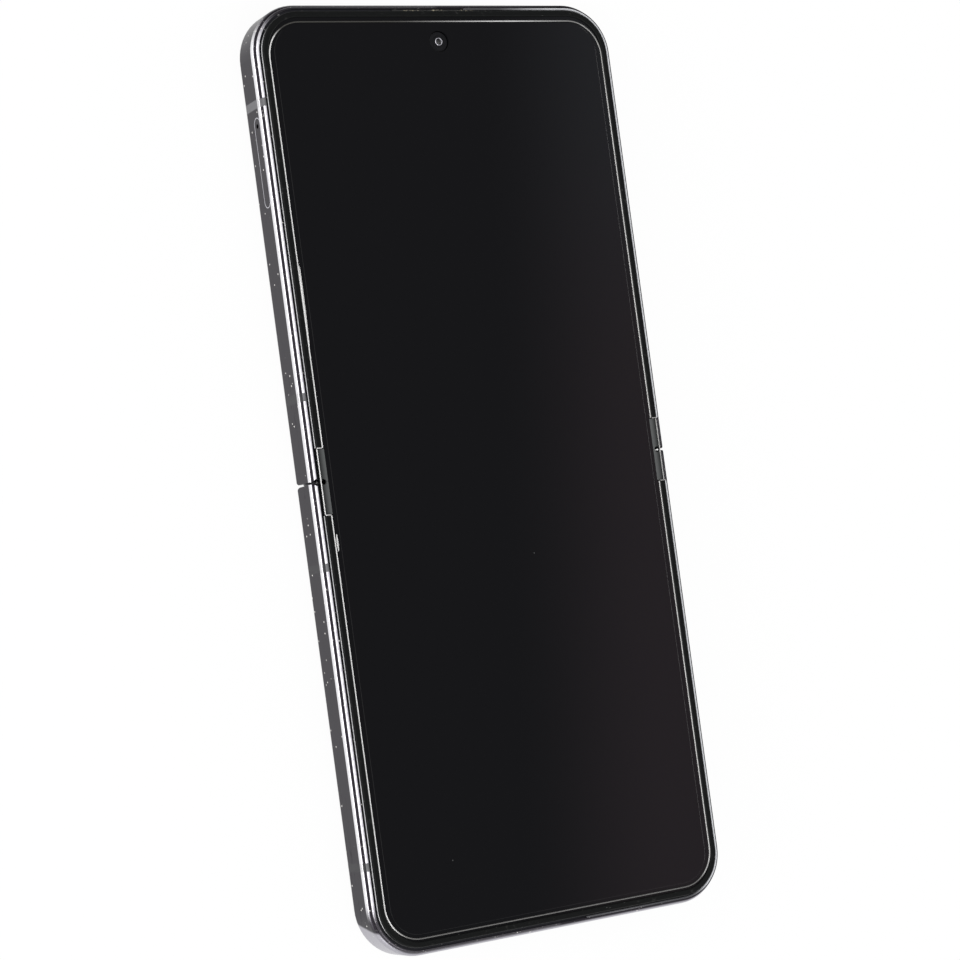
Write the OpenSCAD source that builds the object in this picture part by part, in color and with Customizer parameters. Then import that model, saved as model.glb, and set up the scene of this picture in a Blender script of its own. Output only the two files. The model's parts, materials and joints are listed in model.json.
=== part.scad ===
// Clamshell foldable phone, lying open on its back with the display up.
// +X is the key side, +Y the half with the cameras, and the fold runs along X at y = 0.

/* [Body] */
// Width across the side rails
body_w = 71.9; // [69:0.1:78]
// Length with both halves open
open_l = 165.1; // [158:0.1:176]
// Thickness from the back glass to the front lip of the frame
body_t = 6.9; // [6.9:0.1:7.8]
// Corner radius of the outline
corner_r = 9; // [7.5:0.5:11]
// Wall of the side rail
wall_t = 1.55; // [1.45:0.05:1.75]
// Radius of the side rail's back edge
edge_r = 0.9; // [0.7:0.05:0.9]
// Radius of the side rail's front shoulder
shoulder_r = 1.0; // [0.8:0.05:1.1]
// Radius of the raised lip round the display
lip_r = 0.4; // [0.3:0.05:0.45]
// Thickness of the back glass of each half
back_t = 0.7; // [0.55:0.05:0.8]
// Thickness of the deck that carries the display
deck_t = 0.7; // [0.5:0.05:0.8]
// Width of a plastic antenna band in the rail
band_w = 1.45; // [1:0.05:2]

/* [Display] */
// Thickness of the folding display with its cover film
display_t = 0.55; // [0.45:0.05:0.6]
// Height of the soft rim above the frame's lip
rim_proud = 0.6; // [0.4:0.05:0.6]
// Width of the soft rim on each side
rim_w = 1.0; // [0.8:0.05:1.3]
// Half length of the stretch that bends when the phone folds
bend_l = 8; // [7.9:0.1:9]
// Half length of the flexible edge strips between the rim ends
strip_l = 5.7; // [5:0.1:6.5]
// Width of a flexible edge strip
strip_w = 1.45; // [1.3:0.05:1.5]
// Radius of the relief hole in a flexible edge strip
relief_r = 0.45; // [0.3:0.05:0.45]
// Radius of the punch hole over the front camera
punch_r = 1.85; // [1.6:0.05:2.1]

/* [Hinge] */
// Distance of each fold axis from the fold line
axis_y = 2.05; // [2.05:0.05:2.3]
// Depth of the fold axes below the frame's lip
axis_drop = 1.4; // [1.35:0.05:1.4]
// Gap between the two halves at the fold line
fold_gap = 0.1; // [0.06:0.02:0.2]
// Wall of the hinge spine
spine_t = 0.7; // [0.5:0.05:0.8]
// Radius of a hinge pin
pin_r = 0.35; // [0.3:0.01:0.38]
// Radial running clearance of pins and shafts
run_gap = 0.05; // [0.02:0.01:0.06]
// Radius of an arm's knuckle
knuckle_r = 0.95; // [0.85:0.05:0.95]
// Tooth module of the synchronising gears
tooth_m = 0.22; // [0.21:0.005:0.23]
// Thickness of a wing plate under the folding stretch
wing_t = 0.4; // [0.3:0.05:0.45]
// Size of the hinge arm screws' heads, as a radius
screw_head_r = 0.8; // [0.7:0.05:0.9]

/* [Keys and tray] */
// Length of the power key
power_l = 13; // [11:0.5:15]
// Length of the volume key
volume_l = 20; // [17:0.5:22]
// Width of both keys
key_w = 2.4; // [2:0.1:2.6]
// How far the volume key stands out of the rail
key_proud = 0.3; // [0.2:0.05:0.4]
// Travel of the power key
key_travel = 0.25; // [0.15:0.05:0.3]
// Length of the card tray's face
tray_l = 15.26; // [14.8:0.02:16]
// Width of the card tray's face
tray_w = 2.0; // [1.8:0.05:2.05]
// Depth that the card tray reaches into the phone
tray_depth = 22; // [18:0.5:24]

/* [Cameras] */
// Outer radius of a rear camera ring
ring_r = 6; // [5.4:0.1:6.2]
// Height that the camera rings stand out of the back
ring_proud = 0.9; // [0.6:0.05:1.2]
// Distance between the two rear cameras
lens_pitch = 13.6; // [13.2:0.1:15]
// Radius of the flash window
flash_r = 1.5; // [1:0.1:1.6]

/* [Hidden] */

$fn = 64;
eps = 0.01;
half_w = body_w / 2;
half_l = open_l / 2;
seat_gap = 0.05;    // between pieces that are bonded or clipped in

// Heights, measured from the back glass
lip_z = body_t;
deck_top = body_t - 0.3;
deck_low = deck_top - deck_t;
display_top = deck_top + display_t;
rim_top = lip_z + rim_proud;
mid_z = body_t / 2;
shoulder_z = deck_top - shoulder_r - 0.25;

// Depths into the rail, measured from its outer side
lip_in = 0.95;
glass_in = 1.0;
ledge_in = 2.4;
ledge_t = 0.6;
rim_out = wall_t - 0.05;
rim_foot = 0.45;
rim_in = rim_out + rim_w;
rim_edge = min(0.2, (rim_top - display_top) / 2);
display_in = rim_out + rim_foot + seat_gap;

// Fold
axis_z = body_t - axis_drop;
spine_low = back_t + 0.2;
spine_r = axis_z - spine_low;
pocket_y = axis_y + spine_r + 0.2;
pocket_x = half_w - wall_t;
spine_x = pocket_x - 0.2;
end_y = fold_gap / 2;
end_r = axis_y - end_y;
rib_l = 0.95;
rib_r = 0.6;
rail_end = 0.2;     // rail ends at the fold: distance from the fold line
rail_r = 1.8;       // and their back corner
strip_lap = 0.45;   // strips reach inside the rim's inner edge
strip_x = half_w - rim_in - strip_lap;

// Arms and their seats
leaf_low = axis_z - knuckle_r;
leaf_top = axis_z - 0.2;
spine_top = leaf_low - 0.25;
spine_floor = spine_low + spine_t;
bulkhead_y = pocket_y + 2.45;
bulkhead_top = axis_z;
deck_near = pocket_y + 1.65;
seat_y = pocket_y + 5.75;
seat_low = 2.0;
arm_end = seat_y - 0.4;
screw_y = seat_y - 1.8;
screw_r = 0.45;
screw_head_t = 0.4;

// Hinge module, as places along X counted inwards from its outer end
module_x = spine_x - 1.8;
ear_t = 1.0;
gear_out = module_x - ear_t - 0.2;
gear_w = 1.4;
knuckle_in = module_x - 6;
inner_ear = module_x - 7.2;
washer_l = 2.0;
end_ear = inner_ear - washer_l - ear_t;
low_ear = gear_out - gear_w - 0.2 - ear_t;
base_t = 0.6;
ear_r = 0.9;

// Gears: one pair on the arms and one pair of idlers between them
arm_teeth = 8;
idler_teeth = 10;
arm_gear_r = tooth_m * arm_teeth / 2;
idler_r = tooth_m * idler_teeth / 2;
idler_drop = sqrt(pow(arm_gear_r + idler_r, 2) - pow(axis_y - idler_r, 2));
idler_z = axis_z - idler_drop;
mesh_angle = atan2(-idler_drop, axis_y - idler_r);
idler_shaft_r = 0.3;

// Wing plates
wing_x = end_ear - 0.8;
wing_y = pocket_y + 1.0;
wing_z = deck_top - 0.55;
wing_pin_r = 0.25;
wing_ear_r = 0.5;
wing_ear_t = 1.0;
wing_curl_r = 0.4;
wing_end = axis_y - 1.65;

// Where things sit along the rails
power_y = seat_y + 11.4;
lower_bands = [14.6, half_l - 16.55];
upper_bands = [power_y - power_l / 2 - 2.8, half_l - 16.95];
band_in = 1.2;
volume_y = half_l - 32.55;
tray_y = half_l - 26.95;

// Key switches, and the cell and boards that end short of them
switch_x = pocket_x - 1.9;
dome_h = 0.6;
dome_in = 4;        // from the volume key's ends
stiffener_t = 0.3;
cell_gap = 3.2;
cell_w = 2 * (switch_x - stiffener_t - cell_gap);
cell_near = seat_y + 0.6;
lower_cell_far = half_l - 16.05;
upper_cell_far = half_l - 46.55;
board_t = 0.7;
board_top = deck_low - 0.7;
board_low = board_top - board_t;
board_side = switch_x - stiffener_t - 0.9;
board_near = upper_cell_far + 1;
board_far = half_l - 3.1;
post_r = 1.3;
coil_r = 20;
coil_bore = 9;

// Cameras and what stands beside them
punch_y = half_l - 6.9;
lens_y = half_l - 11.15;
lens_x = half_w - 10.75;
flash_x = lens_x - lens_pitch - ring_r - 3;
front_body = 6;
flash_body = 1.4;   // half the width of the flash's body, which ends short of the front camera
flash_far = min(flash_body, punch_y - front_body / 2 - 0.4 - lens_y);
can_x = -8;
can_in = 1.3;       // from the board's +X side
can_y = board_near + 3;
can_far = lens_y - 11.4;
can_h = 2.2;
can_t = 0.2;

// Bottom end of the lower half, from the +X side to the -X side
port_w = 8.94;
port_h = 3.16;
port_wall = 0.3;
port_l = 7.3;
port_in = 0.3;
speaker_w = 19.5;
speaker_x = pocket_x - 4.4 - speaker_w / 2;
speaker_far = half_l - 2.95;
speaker_l = 11.6;
motor_r = 4.2;
motor_h = 3.2;
motor_x = 4.2 + motor_r - pocket_x;
mic_x = -12;
lower_board_x0 = motor_x + motor_r + 1.8;
lower_board_x1 = speaker_x - speaker_w / 2 - 1.1;

// Card tray
tray_t = 0.8;
tray_z = mid_z + 0.3;
tray_gap = 0.15;    // round the tray in its cage
tray_face_z = tray_z - tray_t / 2 - 0.05 + tray_w / 2;
tray_face_t = 1.4;
tray_body_w = tray_l - 2.2;
tray_end = half_w - tray_face_t - tray_depth;
card_w = 8.8;       // nano card: a standard size
card_l = 12.3;
card_t = 0.67;

// ---- shared shapes, drawn for the lower half or the +X side ----

module lift() translate([0, 0, ring_proud]) children();

module on_half(s) mirror([0, s > 0 ? 1 : 0, 0]) children();

module on_side(s) mirror([s < 0 ? 1 : 0, 0, 0]) children();

// A (y, z) profile drawn out along X
module along_x(x0, x1) translate([x0, 0, 0]) rotate([90, 0, 90]) linear_extrude(x1 - x0) children();

// A box given by its two corners
module block(a, b) translate(a) cube(b - a);

module rounded(w, l, r) {
    square([w - 2 * r, l], center = true);
    square([w, l - 2 * r], center = true);
    for (x = [-1, 1], y = [-1, 1]) translate([x * (w / 2 - r), y * (l / 2 - r)]) circle(r);
}

module slot(l, w) {
    square([l - w, w], center = true);
    for (s = [-1, 1]) translate([s * (l - w) / 2, 0]) circle(w / 2);
}

// Outline of the lower half, drawn in by inset, from y = -near to the far end
module outline(inset, near) {
    r = corner_r - inset;
    w = half_w - inset;
    far = half_l - inset;
    translate([-w, r - far]) square([2 * w, far - r - near]);
    translate([r - w, -far]) square([2 * (w - r), r]);
    for (s = [-1, 1]) translate([s * (w - r), r - far]) circle(r);
}

// Runs a (depth, height) profile round the lower half, from y = -near on one side to the other
module around(near) {
    for (s = [-1, 1]) on_side(s) {
        translate([half_w, -near, 0]) rotate([90, 0, 0])
            linear_extrude(half_l - corner_r - near) mirror([1, 0]) children();
        translate([half_w - corner_r, corner_r - half_l, 0]) rotate([0, 0, -90])
            rotate_extrude(angle = 90) translate([corner_r, 0]) mirror([1, 0]) children();
    }
    translate([corner_r - half_w, -half_l, 0]) rotate([90, 0, 90])
        linear_extrude(2 * (half_w - corner_r)) children();
}

// Section of the rail: rounded back edge, glass seat, flat side, shoulder and lip
module rail_profile() {
    intersection() {
        translate([edge_r, edge_r]) circle(edge_r);
        square(edge_r);
    }
    translate([edge_r, 0]) square([lip_in - edge_r, edge_r]);
    translate([0, edge_r]) square([wall_t, shoulder_z - edge_r]);
    translate([lip_in, back_t]) square([ledge_in - lip_in, ledge_t]);
    intersection() {
        translate([shoulder_r, shoulder_z]) circle(shoulder_r);
        translate([0, shoulder_z]) square([lip_in, shoulder_r]);
    }
    translate([lip_in, shoulder_z]) square([wall_t - lip_in, deck_top - shoulder_z]);
    translate([lip_in - lip_r, shoulder_z]) square([lip_r, lip_z - lip_r - shoulder_z]);
    intersection() {
        translate([lip_in, lip_z - lip_r]) circle(lip_r);
        translate([lip_in - lip_r, lip_z - lip_r]) square(lip_r);
    }
}

// What is left of a half at the fold: round about the fold axis in front, small radius behind
module fold_end() {
    translate([-open_l, -1]) square([open_l - axis_y, lip_z + 2]);
    translate([-axis_y, axis_z]) circle(end_r);
    translate([-axis_y, rib_r]) square([end_r, axis_z - rib_r]);
    translate([-axis_y, 0]) square([end_r - rib_r, axis_z]);
    translate([-end_y - rib_r, rib_r]) circle(rib_r);
}

// What is taken off a rail's end at the fold, and off the glass beside it
module rail_relief() along_x(pocket_x + seat_gap, half_w + 1) {
    translate([-rail_end, -1]) square([rail_end + 1, lip_z + 2]);
    difference() {
        translate([-rail_end - rail_r, -1]) square([rail_r + eps, rail_r + 1]);
        translate([-rail_end - rail_r, rail_r]) circle(rail_r);
    }
}

// Rail, deck, fold rib, cross wall with the arms' seats, and the wing plate's ears
module half_frame() {
    intersection() {
        difference() {
            union() {
                around(0) rail_profile();
                translate([0, 0, deck_low]) linear_extrude(deck_t) outline(wall_t - seat_gap, deck_near);
                block([-pocket_x - seat_gap, -end_y - rib_l, 0], [pocket_x + seat_gap, 0, back_t]);
            }
            block([-pocket_x, -pocket_y, back_t], [pocket_x, 1, rim_top]);
            for (s = [-1, 1]) on_side(s) {
                block([inner_ear + 0.2, -seat_y - 0.2, deck_low - eps],
                      [module_x - 0.9, -deck_near + 1, deck_top + eps]);
                rail_relief();
            }
        }
        along_x(-half_w - 1, half_w + 1) fold_end();
    }
    difference() {
        union() {
            block([-pocket_x - seat_gap, -bulkhead_y, back_t], [pocket_x + seat_gap, -pocket_y, bulkhead_top]);
            block([-pocket_x - seat_gap, -bulkhead_y, bulkhead_top], [pocket_x + seat_gap, -deck_near, deck_low]);
            for (s = [-1, 1]) on_side(s)
                block([inner_ear + 0.3, -seat_y, seat_low], [pocket_x + seat_gap, -bulkhead_y + eps, leaf_low]);
        }
        for (s = [-1, 1]) on_side(s) {
            block([inner_ear + 0.1, -seat_y - 1, leaf_low], [module_x - 0.9, -pocket_y + 1, deck_top]);
            for (x = arm_screws_x()) translate([x, -screw_y, leaf_low - 2]) cylinder(r = screw_r, h = 3);
        }
        block([-5, -bulkhead_y - 1, leaf_low - 0.15], [5, -pocket_y + 1, leaf_top]);
    }
    for (s = [-1, 1]) on_side(s) along_x(wing_x + 0.3, wing_x + 0.3 + wing_ear_t) difference() {
        union() {
            translate([-wing_y, wing_z]) circle(wing_ear_r);
            translate([-wing_y - wing_ear_r, bulkhead_top]) square([2 * wing_ear_r, wing_z - bulkhead_top]);
        }
        translate([-wing_y, wing_z]) circle(wing_pin_r + run_gap);
    }
}

function arm_screws_x() = [knuckle_in + 0.8, gear_out - 1.2];

// Cut in the rail for an antenna band, on the +X side
module band_cut(y, w = band_w) block([half_w - band_in, -y - w / 2, -1], [half_w + 1, -y + w / 2, lip_z + 1]);

module antenna_bands(places) {
    for (s = [-1, 1], y = places) on_side(s)
        translate([half_w, band_w / 2 - y, 0]) rotate([90, 0, 0]) linear_extrude(band_w) mirror([1, 0])
            intersection() {
                rail_profile();
                square([band_in, lip_z]);
            }
}

module back_glass() difference() {
    linear_extrude(back_t) outline(glass_in, end_y + rib_l + seat_gap);
    for (s = [-1, 1]) on_side(s) rail_relief();
}

module flat_display() translate([0, 0, deck_top]) linear_extrude(display_t) outline(display_in, bend_l);

// Narrower between the edge strips than between the rims
module bending_display() {
    rims = half_w - rim_in - seat_gap;
    strips = strip_x - seat_gap;
    block([-rims, -bend_l, deck_top], [rims, -strip_l, display_top]);
    block([-strips, -strip_l - eps, deck_top], [strips, 0, display_top]);
}

// The rim stands on the deck and hooks over the display's edge
module rim() difference() {
    around(strip_l) {
        translate([rim_out, deck_top]) square([rim_foot, rim_top - rim_edge - deck_top]);
        translate([rim_out + rim_edge, display_top]) square([rim_w - 2 * rim_edge, rim_top - display_top]);
        translate([rim_out, display_top]) square([rim_w, rim_top - rim_edge - display_top]);
        for (d = [rim_edge, rim_w - rim_edge]) translate([rim_out + d, rim_top - rim_edge]) circle(rim_edge);
    }
    for (s = [-1, 1]) on_side(s)
        block([half_w - rim_out - rim_foot - eps, -bend_l, deck_top - 1],
              [half_w - rim_out + 1, -strip_l + 1, deck_top + 0.1]);
}

module fold_strips() {
    for (s = [-1, 1]) on_side(s) translate([strip_x, 0, deck_top + seat_gap])
        linear_extrude(display_t) difference() {
            translate([0, -strip_l + seat_gap]) square([strip_w, strip_l - seat_gap]);
            translate([strip_w - 0.6, 0]) circle(relief_r);
        }
}

// A flat part cell with rounded corners that hangs from the deck
module cell(near, far, low) translate([0, -(near + far) / 2, low])
    linear_extrude(deck_low - low) rounded(cell_w, far - near, 1.6);

// One leaf, its knuckle and its gear, on the +X side of the lower half
module arm(first_tooth) {
    difference() {
        union() {
            block([knuckle_in, -bulkhead_y, leaf_low], [gear_out, -axis_y - knuckle_r, leaf_top]);
            block([knuckle_in, -axis_y - knuckle_r - eps, leaf_low],
                  [gear_out - gear_w, -axis_y, leaf_top]);
            block([knuckle_in - 0.8, -arm_end, leaf_low], [gear_out, -bulkhead_y + 1.6, leaf_top]);
            along_x(knuckle_in, gear_out - gear_w) translate([-axis_y, axis_z]) circle(knuckle_r);
            along_x(gear_out - gear_w, gear_out) translate([-axis_y, axis_z])
                gear(arm_teeth, first_tooth, 5);
        }
        along_x(knuckle_in - 1, gear_out + 1) translate([-axis_y, axis_z]) circle(pin_r + run_gap);
        for (x = arm_screws_x()) translate([x, -screw_y, leaf_low - 1]) cylinder(r = screw_r + seat_gap, h = 3);
    }
}

// Spur gear with some or all of its teeth, the first one at angle a
module gear(teeth, a, count) {
    pitch = 360 / teeth;
    root = tooth_m * (teeth / 2 - 1.1);
    tip = tooth_m * (teeth / 2 + 0.8);
    base = 0.25 * PI * tooth_m;
    top = 0.11 * PI * tooth_m;
    circle(root);
    for (i = [0 : count - 1]) rotate(a + i * pitch)
        polygon([[root * 0.8, -base], [root, -base], [tip, -top], [tip, top], [root, base], [root * 0.8, base]]);
}

module arm_screws() {
    for (s = [-1, 1]) on_side(s) for (x = arm_screws_x()) translate([x, -screw_y, 0]) difference() {
        union() {
            translate([0, 0, leaf_low - 1.8]) cylinder(r = screw_r, h = leaf_top - leaf_low + 1.8 + eps);
            translate([0, 0, leaf_top]) cylinder(r = screw_head_r, h = screw_head_t);
        }
        for (a = [0, 90]) translate([0, 0, leaf_top + screw_head_t]) rotate(a)
            cube([screw_head_r, 0.18, 0.4], center = true);
    }
}

// Ribbon of constant thickness along a list of (y, z) points
module ribbon(w, t, points) {
    n = len(points);
    back = [for (i = [1 : n]) points[n - i] - [0, t]];
    along_x(-w / 2, w / 2) polygon(concat(points, back));
}

module interconnect() ribbon(8, 0.15, [
    [-bulkhead_y - 3.4, deck_low], [-bulkhead_y - 1.1, deck_low], [-bulkhead_y - 0.2, leaf_top - 0.3],
    [-pocket_y + 0.5, leaf_top - 0.3], [-axis_y - 1.2, spine_floor + 1.7], [0, spine_floor + 1.5]
]);

// Wing plate that carries the display's bending stretch and drops at its inner edge
module wing() {
    block([-wing_x, -wing_y + 0.1, deck_top - wing_t], [wing_x, -wing_end, deck_top]);
    along_x(-wing_x, wing_x) translate([-wing_y, wing_z]) circle(wing_curl_r);
    block([-wing_x, -wing_y, wing_z], [wing_x, -wing_y + wing_curl_r, deck_top - wing_t + eps]);
    along_x(-wing_x - 0.3 - wing_ear_t, wing_x + 0.3 + wing_ear_t)
        translate([-wing_y, wing_z]) circle(wing_pin_r);
}

// ---- lower half ----

module usb_outline(grow = 0) translate([0, -half_l - 1, mid_z]) rotate([-90, 0, 0])
    linear_extrude(wall_t + 2) slot(port_w + 2 * grow, port_h + 2 * grow);

module lower_frame() lift() color("#55525a") difference() {
    half_frame();
    for (s = [-1, 1], y = lower_bands) on_side(s) band_cut(y);
    usb_outline(seat_gap);
    for (i = [-2.5 : 2.5]) translate([speaker_x - 1.5 + 2.2 * i, -half_l - 1, mid_z]) rotate([-90, 0, 0])
        cylinder(r = 0.6, h = wall_t + 1.5);
    translate([mic_x, -half_l - 1, mid_z]) rotate([-90, 0, 0]) cylinder(r = 0.45, h = wall_t + 1.5);
}

module lower_back_glass() lift() color("#2b2a2e") back_glass();

module lower_display() lift() color("#1d1d20") flat_display();

module lower_rim() lift() color("#141416") rim();

module display_fold_lower() lift() color("#202024") bending_display();

module lower_fold_strips() lift() color("#55565a") fold_strips();

module lower_battery() lift() color("#3c3f44") cell(cell_near, lower_cell_far, back_t + ledge_t);

module lower_board() lift() color("#1f4a38") {
    difference() {
        block([lower_board_x0, -half_l + 2.6, board_low], [lower_board_x1, -lower_cell_far - 1.1, board_top]);
        block([-port_w / 2 - 0.1, -half_l, board_low - 1],
              [port_w / 2 + 0.1, -half_l + port_in + port_l + 0.1, board_top + 1]);
    }
    for (x = [lower_board_x0 + 2, lower_board_x1 - 1.8]) translate([x, -lower_cell_far - 3, board_top])
        cylinder(r = post_r, h = deck_low - board_top);
    block([mic_x - 1.5, -half_l + 2.7, board_low - 1.2], [mic_x + 1.5, -half_l + 5.2, board_low]);
    block([mic_x - 3, -lower_cell_far - 4.4, board_low - 1.1], [mic_x + 9, -lower_cell_far - 1.6, board_low]);
}

// Shell, tongue and rear wall of the charging port
module usb_c_port() lift() color("#8d9096") translate([0, port_in - half_l, mid_z]) rotate([-90, 0, 0]) {
    difference() {
        linear_extrude(port_l) slot(port_w, port_h);
        translate([0, 0, -eps]) linear_extrude(port_l - 0.8) slot(port_w - 2 * port_wall, port_h - 2 * port_wall);
    }
    translate([0, 0, port_l - 0.8]) mirror([0, 0, 1])
        linear_extrude(port_l - 1.6) square([6.69, 0.7], center = true);
}

module loudspeaker() lift() color("#26272a") {
    block([speaker_x - speaker_w / 2, -speaker_far, back_t + ledge_t + 0.1],
          [speaker_x + speaker_w / 2, speaker_l - speaker_far, deck_low]);
    block([speaker_x - 8, -half_l + wall_t + 0.1, mid_z - 1.1], [speaker_x + 5, -speaker_far + eps, mid_z + 1.1]);
}

module vibration_motor() lift() color("#9a9da2") translate([motor_x, corner_r - half_l - 0.3, 0]) {
    translate([0, 0, deck_low - motor_h]) cylinder(r = motor_r, h = motor_h);
    translate([0, 0, deck_low - motor_h - 0.3]) cylinder(r = 1.2, h = 0.4);
}

module wireless_coil() lift() color("#b5713c") translate([0, -(cell_near + lower_cell_far) / 2, back_t])
    rotate_extrude() difference() {
        translate([coil_bore, 0]) square([coil_r - coil_bore, 0.4]);
        for (x = [coil_bore + 1.4 : 1.4 : coil_r - 1]) translate([x, 0.25]) square([0.25, 0.3]);
    }

module lower_antenna_bands() lift() color("#4a474e") antenna_bands(lower_bands);

module left_lower_arm() lift() color("#a9abb0") on_side(-1) arm(mesh_angle - 180 / arm_teeth);

module right_lower_arm() lift() color("#a9abb0") arm(mesh_angle - 180 / arm_teeth);

module lower_arm_screws() lift() color("#c4c6ca") arm_screws();

module interconnect_lower() lift() color("#a5672b") interconnect();

module lower_wing() lift() color("#b4b6ba") wing();

// ---- hinge spine ----

module spine_section(r) {
    for (s = [-1, 1]) translate([s * axis_y, axis_z]) circle(r);
    translate([-axis_y, axis_z - r]) square([2 * axis_y, 2 * r]);
}

module hinge_spine() lift() color("#2e2d31") {
    along_x(-spine_x, spine_x) intersection() {
        difference() {
            spine_section(spine_r);
            spine_section(spine_r - spine_t);
        }
        translate([-pocket_y, 0]) square([2 * pocket_y, spine_top]);
    }
    for (s = [-1, 1]) on_side(s) along_x(spine_x - 0.8, spine_x) intersection() {
        spine_section(spine_r);
        translate([-pocket_y, 0]) square([2 * pocket_y, axis_z - 0.1]);
    }
}

// Base with four ears: three carry the pins and the low one the idlers' inner ends
module bracket() {
    block([end_ear, -axis_y, spine_floor], [module_x, axis_y, spine_floor + base_t]);
    for (x = [end_ear, inner_ear, module_x - ear_t]) along_x(x, x + ear_t) difference() {
        union() {
            translate([-axis_y, spine_floor]) square([2 * axis_y, axis_z + ear_r - spine_floor]);
            translate([-axis_y - ear_r, spine_floor + 1]) square([2 * (axis_y + ear_r), axis_z - spine_floor - 1]);
            for (s = [-1, 1]) translate([s * axis_y, axis_z]) circle(ear_r);
        }
        for (s = [-1, 1]) translate([s * axis_y, axis_z]) circle(pin_r);
        if (x > inner_ear) idler_bores();
    }
    along_x(low_ear, low_ear + ear_t) difference() {
        translate([-idler_r - 1.1, spine_floor]) square([2 * (idler_r + 1.1), leaf_low - 0.2 - spine_floor]);
        idler_bores();
    }
}

module idler_bores() for (s = [-1, 1]) translate([s * idler_r, idler_z]) circle(idler_shaft_r + run_gap);

module hinge_pins() for (s = [-1, 1])
    along_x(end_ear, module_x) translate([s * axis_y, axis_z]) circle(pin_r);

// Dished washers that give the fold its drag
module washers() for (s = [-1, 1]) translate([inner_ear - washer_l, s * axis_y, axis_z]) rotate([0, 90, 0])
    rotate_extrude() difference() {
        translate([pin_r, 0]) square([ear_r - pin_r, washer_l]);
        for (i = [1 : 4]) translate([ear_r - 0.25, i * washer_l / 5 - 0.05]) square([0.3, 0.1]);
    }

// Idler gear of the lower half's side; first_tooth points along the line of centres
module idler(first_tooth) {
    along_x(gear_out - gear_w + 0.1, gear_out - 0.1) translate([-idler_r, idler_z])
        gear(idler_teeth, first_tooth, idler_teeth);
    along_x(low_ear, module_x) translate([-idler_r, idler_z]) circle(idler_shaft_r);
}

module left_bracket() lift() color("#8f9196") on_side(-1) bracket();

module right_bracket() lift() color("#8f9196") bracket();

module left_hinge_pins() lift() color("#c9cbce") on_side(-1) hinge_pins();

module right_hinge_pins() lift() color("#c9cbce") hinge_pins();

module left_washers() lift() color("#75777c") on_side(-1) washers();

module right_washers() lift() color("#75777c") washers();

module left_lower_idler() lift() color("#d2b46a") on_side(-1) idler(mesh_angle + 180);

module right_lower_idler() lift() color("#d2b46a") idler(mesh_angle + 180);

module left_upper_idler() lift() color("#d2b46a") on_side(-1) on_half(1)
    idler(mesh_angle + 180 + 180 / idler_teeth);

module right_upper_idler() lift() color("#d2b46a") on_half(1) idler(mesh_angle + 180 + 180 / idler_teeth);

// ---- upper half ----

// Slot through the rail for a key or a tray, centred at height z on the +X side
module side_slot(y, l, w, z = mid_z) translate([half_w - wall_t - 1, y, z]) rotate([90, 0, 90])
    linear_extrude(wall_t + 2) slot(l, w);

module upper_frame() lift() color("#55525a") difference() {
    on_half(1) half_frame();
    on_half(1) for (s = [-1, 1], y = upper_bands) on_side(s) band_cut(y);
    side_slot(power_y, power_l + 0.16, key_w + 0.16);
    side_slot(volume_y, volume_l + 0.2, key_w + 0.2);
    on_side(-1) side_slot(tray_y, tray_l + 0.1, tray_w + 0.1, tray_face_z);
    translate([0, punch_y, deck_low - eps]) cylinder(r = punch_r, h = deck_t + 1);
    block([-8.5, half_l - rim_out + 0.05, deck_top - 0.5], [8.5, half_l - lip_in - 0.15, lip_z]);
    block([-8.5, half_l - rim_out - 0.9, deck_low - eps], [8.5, half_l - lip_in - 0.15, deck_top - 0.4]);
    translate([24, half_l - (lip_in + rim_out) / 2, deck_top - 1]) cylinder(r = 0.25, h = 2);
}

module upper_back_glass() lift() color("#2b2a2e") difference() {
    on_half(1) back_glass();
    for (x = [lens_x, lens_x - lens_pitch]) translate([x, lens_y, -1]) cylinder(r = ring_r + seat_gap, h = 3);
    translate([flash_x, lens_y, -1]) cylinder(r = flash_r + seat_gap, h = 3);
}

// Display behind the back glass, with a tab beside the cameras
module cover_display() lift() color("#17171a") translate([0, 0, back_t]) linear_extrude(0.9) {
    side = half_w - 4.5;
    near = bulkhead_y + 0.2;
    far = lens_y - ring_r - 3;
    tab_far = half_l - 3.4;
    tab_w = side + flash_x - flash_r - 1.5;
    tab_l = tab_far - far + 8;
    translate([0, (near + far) / 2]) rounded(2 * side, far - near, 3);
    translate([tab_w / 2 - side, tab_far - tab_l / 2]) rounded(tab_w, tab_l, 4);
}

module upper_display() lift() color("#1d1d20") difference() {
    on_half(1) flat_display();
    translate([0, punch_y, deck_top - 1]) cylinder(r = punch_r, h = 3);
}

module upper_rim() lift() color("#141416") on_half(1) rim();

module display_fold_upper() lift() color("#202024") on_half(1) bending_display();

module upper_fold_strips() lift() color("#55565a") on_half(1) fold_strips();

module upper_battery() lift() color("#3c3f44") on_half(1) cell(cell_near, upper_cell_far, back_t + 1.6);

module main_board() lift() color("#1f4a38") difference() {
    union() {
        block([-board_side, board_near, board_low], [board_side, board_far, board_top]);
        for (x = [-1, 0, 1], y = [board_near + 2.5, lens_y - 9.4]) translate([x * (board_side - 2.3), y, board_top])
            cylinder(r = post_r, h = deck_low - board_top);
    }
    block([flash_x + 3.6, lens_y - 5.4, board_low - 1], [board_side + 0.7, half_l, board_top + 1]);
    block([-front_body / 2 - 0.4, punch_y - front_body / 2 - 0.4, board_low - 1],
          [front_body / 2 + 0.4, half_l, board_top + 1]);
    translate([-board_side, board_far, board_low - 1]) rotate(45) cube([corner_r, corner_r, 5], center = true);
}

module shield_can() lift() color("#a3a6ab") difference() {
    block([can_x, can_y, board_low - can_h], [board_side - can_in, can_far, board_low]);
    block([can_x + can_t, can_y + can_t, board_low - can_h + can_t],
          [board_side - can_in - can_t, can_far - can_t, board_low + 1]);
}

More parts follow.
